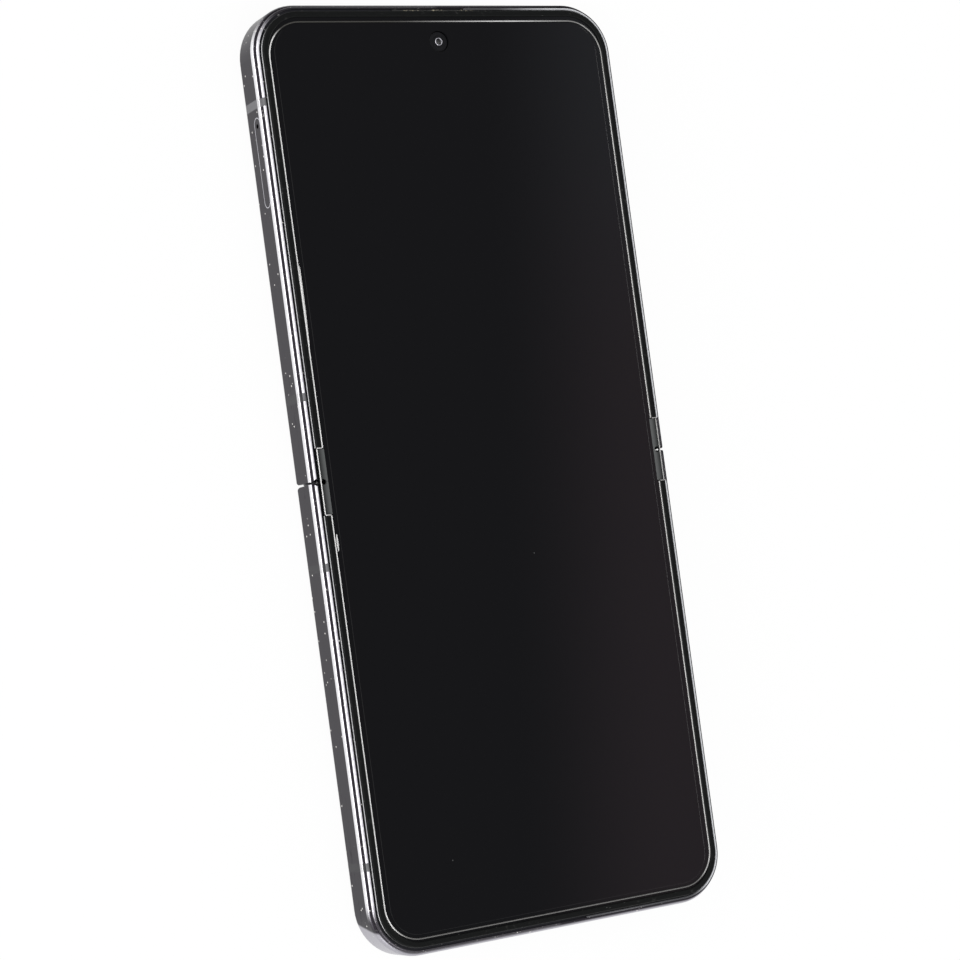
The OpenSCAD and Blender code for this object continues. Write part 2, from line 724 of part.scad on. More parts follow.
// Sheet cage that guides the card tray, open towards the rail
module sim_reader() lift() color("#b9bbbf") on_side(-1) difference() {
    block([tray_end - 0.5, tray_y - tray_body_w / 2 - 0.4, tray_z - tray_t / 2 - tray_gap - 0.2],
          [pocket_x - 0.2, tray_y + tray_body_w / 2 + 0.4, board_low]);
    block([tray_end - 0.3, tray_y - tray_body_w / 2 - 0.2, tray_z - tray_t / 2 - tray_gap],
          [pocket_x + 1, tray_y + tray_body_w / 2 + 0.2, tray_z + tray_t / 2 + tray_gap]);
}

module sim_tray() lift() color("#55525a") on_side(-1) difference() {
    union() {
        translate([half_w - tray_face_t, tray_y, tray_face_z]) rotate([90, 0, 90])
            linear_extrude(tray_face_t) slot(tray_l, tray_w);
        block([tray_end, tray_y - tray_body_w / 2, tray_z - tray_t / 2],
              [half_w - tray_face_t + eps, tray_y + tray_body_w / 2, tray_z + tray_t / 2]);
    }
    block([tray_end + 1.2, tray_y - card_w / 2 - 0.05, tray_z - tray_t / 2 + 0.13],
          [tray_end + 1.3 + card_l, tray_y + card_w / 2 + 0.05, tray_z + 1]);
    translate([tray_end + 14.2, tray_y + tray_l / 2 - 1.3, tray_face_z]) rotate([0, 90, 0]) cylinder(r = 0.4, h = 20);
}

module nano_sim() lift() color("#d9c48a") on_side(-1)
    block([tray_end + 1.25, tray_y - card_w / 2, tray_z - tray_t / 2 + 0.13],
          [tray_end + 1.25 + card_l, tray_y + card_w / 2, tray_z - tray_t / 2 + 0.13 + card_t]);

function volume_domes() = [dome_in - volume_l / 2, volume_l / 2 - dome_in];

// Domes under the keys on one stiffener that hangs from the deck
module key_switches() lift() color("#8a6d3a") {
    block([switch_x - stiffener_t, power_y - power_l / 2 - 1.5, mid_z - 1.6],
          [switch_x, volume_y + volume_l / 2 - 1, deck_low]);
    for (y = concat(power_y, [for (d = volume_domes()) volume_y + d])) translate([switch_x - eps, y, mid_z])
        rotate([0, 90, 0]) cylinder(r1 = 1.2, r2 = 0.8, h = dome_h);
}

// Key cap with a flange inside the wall and a nub for each dome
module key(y, l, out, flange_gap, nubs) {
    flange_x = pocket_x - flange_gap;
    translate([flange_x, y, mid_z]) rotate([90, 0, 90]) linear_extrude(half_w + out - flange_x) slot(l, key_w);
    translate([flange_x - 0.35, y, mid_z]) rotate([90, 0, 90]) linear_extrude(0.35) slot(l + 1.4, key_w + 0.5);
    nub_x = switch_x + dome_h + key_travel + 0.05;
    for (n = nubs) translate([nub_x, y + n, mid_z]) rotate([0, 90, 0])
        cylinder(r = 0.6, h = flange_x - 0.3 - nub_x);
}

module power_key() lift() color("#3a393d") key(power_y, power_l, 0, 0.05, [0]);

module volume_key() lift() color("#55525a") key(volume_y, volume_l, key_proud, 0.3, volume_domes());

module front_camera() lift() color("#101114") translate([0, punch_y, 0]) {
    block([-front_body / 2, -front_body / 2, deck_low - 3.3], [front_body / 2, front_body / 2, deck_low]);
    translate([0, 0, deck_low - eps]) cylinder(r = punch_r - 0.1, h = 1.0);
    translate([0, 0, deck_low]) cylinder(r1 = punch_r - 0.1, r2 = 0.95, h = display_top - deck_low - 0.15);
}

module earpiece() lift() color("#2a2b2e")
    block([-8, half_l - 2.9, deck_low - 1.5], [8, half_l - wall_t - 0.05, deck_low]);

module rear_camera(x, body) translate([x, lens_y, 0]) {
    translate([0, 0, 0.05]) cylinder(r = ring_r - 1.9, h = 2.4);
    difference() {
        block([-body / 2, -body / 2, 2.2], [body / 2, body / 2, deck_low]);
        for (a = [0 : 90 : 270]) rotate(a) translate([body / 2, body / 2, 0]) rotate(45)
            cube([1.2, 1.2, 20], center = true);
    }
    translate([0, 0, -0.05]) cylinder(r1 = 1.6, r2 = 2.2, h = 0.2);
}

module wide_camera() lift() color("#17181b") rear_camera(lens_x, 9.6);

module ultrawide_camera() lift() color("#17181b") rear_camera(lens_x - lens_pitch, 8.6);

// Rings stand out of the back glass and are held by a flange behind it
module camera_rings() lift() color("#6a676e") for (x = [lens_x, lens_x - lens_pitch])
    translate([x, lens_y, 0]) rotate_extrude() difference() {
        polygon([
            [ring_r - 1.4, -0.15], [ring_r - 0.8, -0.15], [ring_r - 0.8, -ring_proud],
            [ring_r - 0.2, -ring_proud], [ring_r, 0.2 - ring_proud], [ring_r, back_t],
            [ring_r + 0.5, back_t], [ring_r + 0.5, back_t + 0.3], [ring_r - 1.4, back_t + 0.3]
        ]);
        translate([ring_r - 0.8, -ring_proud]) circle(0.12);
    }

module camera_lenses() lift() color("#0c0d10") for (x = [lens_x, lens_x - lens_pitch])
    translate([x, lens_y, -0.7]) cylinder(r = ring_r - 0.8, h = 0.55);

module flash() lift() color("#e4dcc0") translate([flash_x, lens_y, 0]) {
    cylinder(r = flash_r, h = back_t);
    translate([0, 0, back_t]) cylinder(r = flash_r + 0.4, h = 0.3);
    block([-flash_body, -flash_body, back_t + 0.2], [flash_body, flash_far, board_low]);
}

module upper_antenna_bands() lift() color("#4a474e") on_half(1) antenna_bands(upper_bands);

module left_upper_arm() lift() color("#a9abb0") on_half(1) on_side(-1) arm(mesh_angle - 360 / arm_teeth);

module right_upper_arm() lift() color("#a9abb0") on_half(1) arm(mesh_angle - 360 / arm_teeth);

module upper_arm_screws() lift() color("#c4c6ca") on_half(1) arm_screws();

module interconnect_upper() lift() color("#a5672b") on_half(1) interconnect();

module upper_wing() lift() color("#b4b6ba") on_half(1) wing();

lower_frame();
lower_back_glass();
lower_display();
lower_rim();
display_fold_lower();
lower_fold_strips();
lower_battery();
lower_board();
usb_c_port();
loudspeaker();
vibration_motor();
wireless_coil();
lower_antenna_bands();
left_lower_arm();
right_lower_arm();
lower_arm_screws();
interconnect_lower();
lower_wing();
hinge_spine();
left_bracket();
right_bracket();
left_hinge_pins();
right_hinge_pins();
left_washers();
right_washers();
left_lower_idler();
left_upper_idler();
right_lower_idler();
right_upper_idler();
upper_frame();
upper_back_glass();
cover_display();
upper_display();
upper_rim();
display_fold_upper();
upper_fold_strips();
upper_battery();
main_board();
shield_can();
sim_reader();
sim_tray();
nano_sim();
key_switches();
power_key();
volume_key();
front_camera();
earpiece();
wide_camera();
ultrawide_camera();
camera_rings();
camera_lenses();
flash();
upper_antenna_bands();
left_upper_arm();
right_upper_arm();
upper_arm_screws();
interconnect_upper();
upper_wing();
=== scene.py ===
import json
import math
import bmesh
import bpy
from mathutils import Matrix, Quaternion, Vector


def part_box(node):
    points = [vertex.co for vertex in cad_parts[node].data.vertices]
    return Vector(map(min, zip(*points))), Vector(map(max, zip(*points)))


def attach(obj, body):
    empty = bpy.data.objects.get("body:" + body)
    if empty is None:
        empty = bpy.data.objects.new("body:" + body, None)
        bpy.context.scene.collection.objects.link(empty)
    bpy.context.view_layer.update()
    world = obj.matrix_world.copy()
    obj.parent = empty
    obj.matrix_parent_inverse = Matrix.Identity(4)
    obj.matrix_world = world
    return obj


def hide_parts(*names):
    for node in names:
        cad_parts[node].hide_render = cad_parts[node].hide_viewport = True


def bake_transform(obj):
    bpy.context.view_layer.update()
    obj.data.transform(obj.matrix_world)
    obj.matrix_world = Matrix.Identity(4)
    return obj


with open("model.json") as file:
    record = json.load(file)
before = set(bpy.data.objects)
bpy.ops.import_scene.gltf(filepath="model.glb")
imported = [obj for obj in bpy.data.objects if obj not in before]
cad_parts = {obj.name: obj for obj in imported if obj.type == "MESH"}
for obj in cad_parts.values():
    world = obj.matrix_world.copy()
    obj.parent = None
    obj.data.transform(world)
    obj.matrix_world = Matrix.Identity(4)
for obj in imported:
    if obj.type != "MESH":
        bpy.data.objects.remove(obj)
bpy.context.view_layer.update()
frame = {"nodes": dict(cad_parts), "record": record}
nodes = frame["nodes"]
scene = bpy.context.scene
scene.view_settings.view_transform = "Standard"
mm = 0.001

# ---- where the phone's own edges lie, in millimetres ----

frameLow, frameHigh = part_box("lower_frame")
halfWidth = frameHigh.x / mm
halfLength = -frameLow.y / mm
backZ = frameLow.z / mm
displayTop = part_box("lower_display")[1].z / mm
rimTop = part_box("lower_rim")[1].z / mm
foldEnd = -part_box("lower_rim")[1].y / mm
cornerRadius = 9.0
rimInner = 2.5
rimOuter = 1.5
print("frame loaded, half width", round(halfWidth, 2), "half length", round(halfLength, 2))


# ---- camera, floor and light ----

camera = {
    "aim": (-5.213, -25.014, 4.4),    # millimetres
    "distance": 454.57,
    "turn": 181.506,                  # degrees from +X to the camera's side
    "height": 61.478,
    "roll": 80.953,
    "lens": 96.466,
    "sensor": 36.0,
    "shift": 0.1354,                  # the phone lies off the lens axis, towards its far end
}


def placeCamera():
    turn, height = math.radians(camera["turn"]), math.radians(camera["height"])
    flat = math.cos(height)
    back = Vector((math.cos(turn) * flat, math.sin(turn) * flat, math.sin(height)))
    bpy.ops.object.camera_add(location=(Vector(camera["aim"]) + back * camera["distance"]) * mm)
    eye = bpy.context.object
    level = (-back).to_track_quat("-Z", "Y")
    eye.rotation_euler = (level @ Quaternion((0, 0, 1), math.radians(camera["roll"]))).to_euler()
    eye.data.lens = camera["lens"]
    eye.data.sensor_width = camera["sensor"]
    eye.data.shift_y = camera["shift"]
    eye.data.clip_start = 0.01
    scene.camera = eye


lamps = {
    "left": {"place": (-1.0, 0.05, 0.30), "size": (1.3, 0.35), "power": 6.0},
    "right": {"place": (1.1, 0.2, 0.28), "size": (1.3, 0.3), "power": 3.0},
    "key": {"place": (-0.35, -1.1, 0.85), "size": (0.8, 0.5), "power": 5.0},
}


def placeLamps():
    for name, lamp in lamps.items():
        bpy.ops.object.light_add(type="AREA", location=lamp["place"])
        light = bpy.context.object
        light.name = name + "Lamp"
        light.data.shape = "RECTANGLE"
        light.data.size, light.data.size_y = lamp["size"]
        light.data.energy = lamp["power"]
        light.rotation_euler = (-Vector(lamp["place"])).to_track_quat("-Z", "Y").to_euler()


# ---- shader maths ----

class Wire:  # one output socket, written as a number in a formula
    def __init__(self, finish, socket):
        self.finish = finish
        self.socket = socket

    def out(self, name):
        return Wire(self.finish, self.socket.node.outputs[name])

    def math(self, operation, *values):
        return self.finish.node("Math", {"operation": operation}, dict(enumerate(values)))

    def __add__(self, other):
        return self.math("ADD", self, other)

    def __radd__(self, other):
        return self.math("ADD", other, self)

    def __sub__(self, other):
        return self.math("SUBTRACT", self, other)

    def __rsub__(self, other):
        return self.math("SUBTRACT", other, self)

    def __mul__(self, other):
        return self.math("MULTIPLY", self, other)

    def __rmul__(self, other):
        return self.math("MULTIPLY", other, self)

    def __truediv__(self, other):
        return self.math("DIVIDE", self, other)

    def __pow__(self, other):
        return self.math("POWER", self, other)

    def __abs__(self):
        return self.math("ABSOLUTE", self)

    def least(self, other):
        return self.math("MINIMUM", self, other)

    def most(self, other):
        return self.math("MAXIMUM", self, other)


def solid(colour):
    return colour if isinstance(colour, Wire) else (*colour[:3], 1.0)


class Finish:  # a node tree that is filled step by step
    def __init__(self, owner):
        owner.use_nodes = True
        self.owner = owner
        self.tree = owner.node_tree
        self.tree.nodes.clear()

    def node(self, kind, settings=None, inputs=None, output=0):
        made = self.tree.nodes.new("ShaderNode" + kind)
        for key, value in (settings or {}).items():
            setattr(made, key, value)
        for key, value in (inputs or {}).items():
            if isinstance(value, Wire):
                self.tree.links.new(value.socket, made.inputs[key])
            else:
                made.inputs[key].default_value = value
        return Wire(self, made.outputs[output]) if len(made.outputs) else None

    def place(self):  # the point on the piece, in millimetres
        spot = self.node("TexCoord", output="Object")
        return self.node("VectorMath", {"operation": "SCALE"}, {0: spot, "Scale": 1 / mm})

    def axes(self, where):
        split = self.node("SeparateXYZ", inputs={0: where})
        return [split.out(axis) for axis in "XYZ"]

    def stretch(self, where, amounts):
        return self.node("VectorMath", {"operation": "MULTIPLY"}, {0: where, 1: amounts})

    def noise(self, where, scale, detail=3.0, rough=0.5):
        inputs = {"Vector": where, "Scale": scale, "Detail": detail, "Roughness": rough}
        return self.node("TexNoise", {}, inputs)

    def step(self, value, low, high):  # 0 up to low, 1 from high on
        settings = {"interpolation_type": "SMOOTHSTEP"}
        return self.node("MapRange", settings, {"Value": value, "From Min": low, "From Max": high})

    def mix(self, amount, first, second):
        inputs = {0: amount, 6: solid(first), 7: solid(second)}
        return self.node("Mix", {"data_type": "RGBA"}, inputs, 2)

    def specks(self, where, scale, size, share):  # round spots in a share of the cells
        cell = self.node("TexVoronoi", {}, {"Vector": where, "Scale": scale})
        chance = self.node("SeparateColor", inputs={0: cell.out("Color")})
        return (1 - self.step(cell, size, size * 1.7)) * self.step(chance, 1 - share, 1.02 - share)

    def scratches(self, where, scale, width, share):  # broken fine lines
        inputs = {"Vector": where, "Scale": scale}
        crack = self.node("TexVoronoi", {"feature": "DISTANCE_TO_EDGE"}, inputs)
        patch = self.step(self.noise(where, scale * 1.7, 2.0), 1 - share, 1.04 - share)
        return (1 - self.step(crack, width, width * 2)) * patch

    def bump(self, height, depth, strength=1.0):
        return self.node("Bump", {}, {"Strength": strength, "Distance": depth * mm, "Height": height})

    def surface(self, values, matt=None):  # matt is a mask and the colour without shine there
        inputs = {key: solid(value) if "Color" in key else value for key, value in values.items()}
        shader = self.node("BsdfPrincipled", {}, inputs)
        if matt:
            dull = self.node("BsdfDiffuse", {}, {"Color": solid(matt[1])})
            shader = self.node("MixShader", {}, {0: matt[0], 1: shader, 2: dull})
        self.node("OutputMaterial", {}, {"Surface": shader})
        return self.owner


def newFinish(name):
    return Finish(bpy.data.materials.new(name))


def edgeDepth(f, x, y):  # how far a point lies in from the phone's outline
    besideX = abs(x) - (halfWidth - cornerRadius)
    besideY = abs(y) - (halfLength - cornerRadius)
    outX, outY = besideX.most(0.0), besideY.most(0.0)
    away = (outX * outX + outY * outY) ** 0.5
    return cornerRadius - away - besideX.most(besideY).least(0.0)


# ---- light tent and floor ----

tent = {
    "white": (1.0, 1.0, 1.0),
    "dark": (0.15, 0.15, 0.16),
    "patches": [                      # dark parts of the room: direction, fully dark from, white up to
        {"way": (0.50, 0.07, 0.86), "from": 0.980, "to": 0.945},
        {"way": (0.45, 0.86, 0.24), "from": 0.86, "to": 0.68},
    ],
}


def makeTent():
    world = bpy.data.worlds.new("tent")
    scene.world = world
    f = Finish(world)
    way = f.node("TexCoord", output="Generated")
    glow = tent["white"]
    for patch in tent["patches"]:
        near = f.node("VectorMath", {"operation": "DOT_PRODUCT"}, {0: way, 1: patch["way"]}, 1)
        glow = f.mix(f.step(near, patch["to"], patch["from"]), glow, tent["dark"])
    light = f.node("Background", {}, {"Color": glow, "Strength": 1.0})
    f.node("OutputWorld", {}, {"Surface": light})


floorLook = {"size": 6.0, "white": (0.9, 0.9, 0.9), "shadowShare": 0.05}


def makeFloor():
    bpy.ops.mesh.primitive_plane_add(size=floorLook["size"], location=(0, 0, -0.00002))
    floor = bpy.context.object
    floor.name = "floor"
    f = newFinish("floorPaper")
    paths = f.node("LightPath")
    seen = paths.out("Is Camera Ray") + paths.out("Is Glossy Ray") + paths.out("Is Transmission Ray")
    white = f.node("Emission", {}, {"Color": (1, 1, 1, 1), "Strength": 1.0})
    paper = f.node("BsdfDiffuse", {}, {"Color": solid(floorLook["white"])})
    share = seen.least(1.0) * (1 - floorLook["shadowShare"])
    both = f.node("MixShader", {}, {0: share, 1: paper, 2: white})
    f.node("OutputMaterial", {}, {"Surface": both})
    floor.data.materials.append(f.owner)


placeCamera()
placeLamps()
makeTent()
makeFloor()
print("camera, lamps and floor set")


# ---- finishes of the outer pieces ----

rail = {
    "paint": (0.026, 0.023, 0.029),
    "wearAndShade": (0.040, 0.036, 0.044),
    "paintedFloorReflection": (0.44, 0.43, 0.47),   # painted reflection of the floor: paler left corner and shoulder of the bottom end
    # painted highlight: pale metal tones of the shoulder and lip lines
    "highlightTone": (0.86, 0.85, 0.88),
    "lipHighlightTone": (0.66, 0.63, 0.70),
    "grooveColour": (0.035, 0.035, 0.040),
    "dust": (0.62, 0.60, 0.58),
    "shoulder": 5.35,                 # height of the shoulder's painted highlight above the back
    "shoulderTo": (0.19, 0.27),       # depth where the shoulder's painted highlight ends
    "lipFoot": 6.50,                  # the crease between shoulder and lip ends here
    "grooveTop": 6.66,
    "lip": 0.95,                      # depth of the lip's inner wall
    "darkReflection": (0.020, 0.019, 0.021),    # painted dark reflection: the dull outer side of the right lip
    "darkReflectionFrom": (5.80, 6.0),
    "darkReflectionTo": (0.92, 0.96),
    "farEnd": (75.5, 81.0),           # no painted highlight on the camera end, up to its right corner
    "farCorner": (12.0, 26.0),
    "nearEnd": (71.8, 75.8),
}


def railMetal():
    f = newFinish("railMetal")
    where = f.place()
    x, y, z = f.axes(where)
    height = z - backZ
    depth = edgeDepth(f, x, y)
    inside = f.step(depth, 1.5, 1.56)
    # painted highlight left off the camera end, up to its right corner, and off the bottom end
    farNoHighlight = f.step(y, *rail["farEnd"]) * (1 - f.step(x, *rail["farCorner"]))
    dull = farNoHighlight.most(f.step(-1 * y, *rail["nearEnd"])) * 0.95
    # painted dark reflection on the outer side of the right lip
    rightLip = f.step(x, 0.0, 1.0) * f.step(height, *rail["darkReflectionFrom"])
    darkReflectionMask = rightLip * (1 - f.step(depth, *rail["darkReflectionTo"]))
    # painted reflection of the floor on the bottom end's left corner and shoulder
    floorReflectionMask = f.step(-1 * y - height * 0.3, 75.4, 76.0) * (1 - f.step(height, 6.0, 6.3)) * (1 - inside)
    floorReflectionMask = floorReflectionMask * f.step(-1 * x, 10.0, 25.0).most(f.step(height, 4.5, 5.3))
    shoulder = f.step(height, rail["shoulder"] - 0.03, rail["shoulder"] + 0.05)
    shoulder = shoulder * (1 - f.step(depth, *rail["shoulderTo"]))
    lipLine = f.step(height, rail["lipFoot"], rail["lipFoot"] + 0.12)
    lipHighlightPatches = f.noise(f.stretch(where, (1.0, 0.5, 1.0)), 2.2, 4.0, 0.7)
    # where the painted highlight goes: the shoulder and lip lines
    highlightLines = shoulder.most(lipLine) * (1 - dull) * (1 - darkReflectionMask)
    groove = f.step(depth, rail["lip"] - 0.01, rail["lip"] + 0.03)
    groove = groove * (1 - f.step(height, rail["grooveTop"], rail["grooveTop"] + 0.06))
    patchy = f.noise(where, 0.09, 4.0, 0.6)
    grime = f.specks(where, 0.62, 0.07, 0.60).most(f.specks(where, 2.6, 0.09, 0.10))
    farLeft = f.step(y, 58.0, 76.0) * f.step(-1 * x, 22.0, 32.0)
    grime = grime.most(f.specks(where, 1.3, 0.13, 0.22) * farLeft) * (1 - inside)
    nearEdge = (1 - f.step(height, 0.5, 1.3)).most(f.step(height, 4.9, 5.3) * (1 - highlightLines))
    chips = f.step(f.noise(where, 1.4, 5.0, 0.65), 0.66, 0.70) * nearEdge
    colour = f.mix(patchy, rail["paint"], rail["wearAndShade"])
    # painted highlight tones, in patches along the lip
    highlightTone = f.mix(lipLine, rail["highlightTone"], f.mix(f.step(lipHighlightPatches, 0.35, 0.65), rail["lipHighlightTone"], rail["highlightTone"]))
    colour = f.mix(highlightLines, colour, highlightTone)
    colour = f.mix(floorReflectionMask, colour, rail["paintedFloorReflection"])
    colour = f.mix(groove.most(inside), colour, rail["grooveColour"])
    colour = f.mix(grime.most(chips * 0.8), colour, rail["dust"])
    lines = f.scratches(f.stretch(where, (1.0, 0.12, 1.0)), 0.5, 0.012, 0.42)
    rough = 0.24 + patchy * 0.12 - highlightLines * 0.12 + grime * 0.3 + lines * 0.15
    rough = rough + rightLip * lipLine * 0.42
    return f.surface({
        "Base Color": colour,
        "Metallic": 1 - grime,
        "Roughness": rough,
        "Normal": f.bump(f.noise(where, 6.0, 2.0) * 0.3 - lines, 0.01, 0.35),
    }, (darkReflectionMask * (1 - dull), rail["darkReflection"]))


band = {
    "low": ((0.020, 0.019, 0.022), (0.030, 0.029, 0.032)),
    "far": (0.115, 0.113, 0.120),     # painted light: the bands near the cameras are paler
    "farFrom": (50.0, 51.0),
    # painted highlight tones of the lip and shoulder lines, as on the rail
    "lip": (0.12, 0.12, 0.125),
    "shoulder": (0.66, 0.65, 0.67),
}


def antennaPlastic():
    f = newFinish("antennaPlastic")
    where = f.place()
    x, y, z = f.axes(where)
    height = z - backZ
    depth = edgeDepth(f, x, y)
    grain = f.noise(where, 5.0, 3.0)
    shoulder = f.step(height, rail["shoulder"], rail["shoulder"] + 0.05)
    shoulder = shoulder * (1 - f.step(depth, *rail["shoulderTo"]))
    # painted dark reflection on the outer side of the right lip
    rightLip = f.step(x, 0.0, 1.0) * f.step(height, *rail["darkReflectionFrom"])
    rightLip = rightLip * (1 - f.step(depth, *rail["darkReflectionTo"]))
    shoulder = shoulder * (1 - rightLip)
    colour = f.mix(grain, *band["low"])
    # painted light: paler towards the cameras
    colour = f.mix(f.step(y, *band["farFrom"]), colour, band["far"])
    # painted highlight on the lip and shoulder lines
    colour = f.mix(f.step(height, rail["lipFoot"], rail["lipFoot"] + 0.1), colour, band["lip"])
    colour = f.mix(shoulder, colour, band["shoulder"])
    return f.surface({
        "Base Color": colour, "Metallic": shoulder * 0.9,
        "Roughness": 0.42 + grain * 0.1 - shoulder * 0.2,
        "Normal": f.bump(grain, 0.01, 0.3), "Specular IOR Level": 0.3,
    }, (rightLip, rail["darkReflection"]))


glassBack = {"tone": (0.020, 0.020, 0.023), "tint": (0.030, 0.029, 0.034), "smear": 0.05}


def backGlass():
    f = newFinish("backGlass")
    where = f.place()
    smear = f.noise(f.stretch(where, (1.0, 0.6, 1.0)), glassBack["smear"], 5.0, 0.6)
    dust = f.specks(where, 0.55, 0.05, 0.2)
    lines = f.scratches(where, 0.12, 0.003, 0.45)
    colour = f.mix(smear, glassBack["tone"], glassBack["tint"])
    colour = f.mix((dust * 0.5).most(lines * 0.25), colour, (0.4, 0.4, 0.4))
    return f.surface({
        "Base Color": colour,
        "Roughness": 0.30 + smear * 0.12 + dust * 0.3,
        "Normal": f.bump(f.noise(where, 9.0, 2.0), 0.003, 0.4),
        "Specular IOR Level": 0.5,
    })


coverWindow = {"margin": 1.0, "radius": 4.5, "black": (0.0035, 0.0035, 0.004)}


def coverGlass():  # back glass of the upper half, clear over the outer display
    f = newFinish("coverGlass")
    where = f.place()
    x, y, z = f.axes(where)
    low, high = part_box("cover_display")
    screenLow, screenHigh = low / mm, high / mm
    midY = (screenLow.y + screenHigh.y) / 2
    halfY = (screenHigh.y - screenLow.y) / 2 + coverWindow["margin"]
    halfX = screenHigh.x + coverWindow["margin"]
    radius = coverWindow["radius"]
    besideX = abs(x) - (halfX - radius)
    besideY = abs(y - midY) - (halfY - radius)
    outX, outY = besideX.most(0.0), besideY.most(0.0)
    inside = radius - (outX * outX + outY * outY) ** 0.5 - besideX.most(besideY).least(0.0)
    clear = f.step(inside, -0.04, 0.04)
    smear = f.noise(f.stretch(where, (1.0, 0.6, 1.0)), glassBack["smear"], 5.0, 0.6)
    dust = f.specks(where, 0.55, 0.05, 0.2)
    satin = f.mix(smear, glassBack["tone"], glassBack["tint"])
    colour = f.mix(clear, satin, coverWindow["black"])
    colour = f.mix(dust * 0.4, colour, (0.4, 0.4, 0.4))
    rough = 0.30 + smear * 0.12
    return f.surface({
        "Base Color": colour,
        "Roughness": rough * (1 - clear) + clear * (0.05 + smear * 0.05) + dust * 0.2,
        "Normal": f.bump(f.noise(where, 9.0, 2.0) * (1 - clear), 0.003, 0.4),
    })


screen = {
    "black": (0.0022, 0.0022, 0.0028),
    "paintedSheen": (0.0105, 0.0080, 0.0095),     # painted reflection, paler towards the key side
    "paintedSheenFar": (0.0105, 0.0108, 0.0125),     # painted reflection, paler towards the key side's far corner
}


def displayGlass():
    f = newFinish("displayGlass")
    where = f.place()
    x, y, z = f.axes(where)
    smear = f.noise(f.stretch(where, (1.0, 0.45, 1.0)), 0.045, 5.0, 0.62)
    lint = f.specks(where, 0.16, 0.014, 0.30)
    # painted reflection: the glass is paler towards the key side
    paintedSheen = f.step(x - y * 0.1, 0.0, 34.0)
    colour = f.mix(paintedSheen, screen["black"], f.mix(f.step(y, 10.0, 75.0), screen["paintedSheen"], screen["paintedSheenFar"]))
    colour = f.mix(lint * 0.12, colour, (0.4, 0.4, 0.4))
    return f.surface({
        "Base Color": colour,
        "Roughness": 0.035 + smear * 0.03 + lint * 0.3,
        "Normal": f.bump(smear, 0.004, 0.2),
    })


def rimPlastic():
    f = newFinish("rimPlastic")
    where = f.place()
    grain = f.noise(where, 3.0, 4.0, 0.6)
    wear = f.step(f.noise(where, 0.8, 5.0, 0.7), 0.62, 0.68)
    dust = f.specks(where, 1.6, 0.07, 0.12)
    colour = f.mix(grain, (0.0030, 0.0034, 0.0034), (0.0065, 0.0070, 0.0070))
    colour = f.mix((wear * 0.03).most(dust * 0.3), colour, (0.45, 0.45, 0.43))
    return f.surface({
        "Base Color": colour,
        "Roughness": 0.30 + grain * 0.12 + wear * 0.2,
        "Normal": f.bump(grain, 0.02, 0.35),
        "Specular IOR Level": 0.10,
    })


def stripRubber():
    f = newFinish("stripRubber")
    where = f.place()
    x, y, z = f.axes(where)
    grain = f.noise(where, 4.0, 4.0, 0.6)
    inward = 1 - f.step(abs(x), 33.1, 34.3)
    pale = f.mix(grain, (0.070, 0.073, 0.073), (0.100, 0.104, 0.104))
    colour = f.mix(inward, (0.012, 0.013, 0.013), pale)
    return f.surface({
        "Base Color": colour, "Roughness": 0.55 + grain * 0.15, "Normal": f.bump(grain, 0.02, 0.4),
        "Specular IOR Level": 0.2,
    })


def edgeBead():
    f = newFinish("edgeBead")
    where = f.place()
    x, y, z = f.axes(where)
    grain = f.noise(where, 0.7, 5.0, 0.65)
    # painted shade: the bead darkens at the camera end on the left
    wearAndShade = f.step(y, 75.8, 78.3) * f.step(20.0 - x, 0.0, 30.0)
    # painted shade: darker towards the key side and at the bottom end
    beadShade = f.step(x, 10.0, 30.0) * (0.50 + f.step(y, 60.0, 74.0) * 0.22)
    beadShade = beadShade.most(f.step(-1 * y, 75.5, 79.0) * 0.80)
    colour = f.mix(grain, (0.86, 0.85, 0.83), (0.97, 0.97, 0.97))
    colour = f.mix(beadShade.most(wearAndShade * 0.96), colour, (0.05, 0.048, 0.042))
    return f.surface({
        "Base Color": colour, "Metallic": 0.75, "Roughness": 0.16 + grain * 0.12,
        "Normal": f.bump(grain, 0.02, 0.3),
    })


def lipGlint():  # painted highlight: a pale line between the lip and the rim on the key side, standing for the lip's glint
    f = newFinish("lipGlint")
    where = f.place()
    x, y, z = f.axes(where)
    grain = f.noise(where, 0.9, 4.0, 0.6)
    gone = f.step(y, *rail["farEnd"]) * (1 - f.step(x, *rail["farCorner"]))
    gone = gone.most(f.step(-1 * y, *lipGlintLine["nearEnd"])) * 0.97
    colour = f.mix(grain, (0.56, 0.57, 0.59), (0.76, 0.77, 0.80))
    colour = f.mix(gone, colour, rail["grooveColour"])
    return f.surface({
        "Base Color": colour, "Metallic": 0.15, "Roughness": 0.2 + grain * 0.12,
        "Normal": f.bump(grain, 0.02, 0.3),
    })


# painted highlight: a pale line on the rim's outer edge, faded to black at both ends
def rimEdgeGlint():
    f = newFinish("rimEdgeGlint")
    where = f.place()
    grain = f.noise(where, 0.9, 5.0, 0.65)
    x, y, z = f.axes(where)
    colour = f.mix(grain, (0.42, 0.42, 0.43), (0.74, 0.74, 0.75))
    colour = f.mix(f.step(abs(y), 75.0, 79.0) * 0.95, colour, (0.01, 0.01, 0.01))
    rough = 0.30 + grain * 0.2
    return f.surface({"Base Color": colour, "Roughness": rough, "Normal": f.bump(grain, 0.02, 0.3)})


def keyMetal():
    f = newFinish("keyMetal")
    where = f.place()
    grain = f.noise(f.stretch(where, (1.0, 0.15, 1.0)), 4.0, 3.0)
    colour = f.mix(grain, (0.050, 0.048, 0.055), (0.075, 0.070, 0.080))
    return f.surface({
        "Base Color": colour, "Metallic": 1.0, "Roughness": 0.24 + grain * 0.12,
        "Normal": f.bump(grain, 0.01, 0.3),
    })


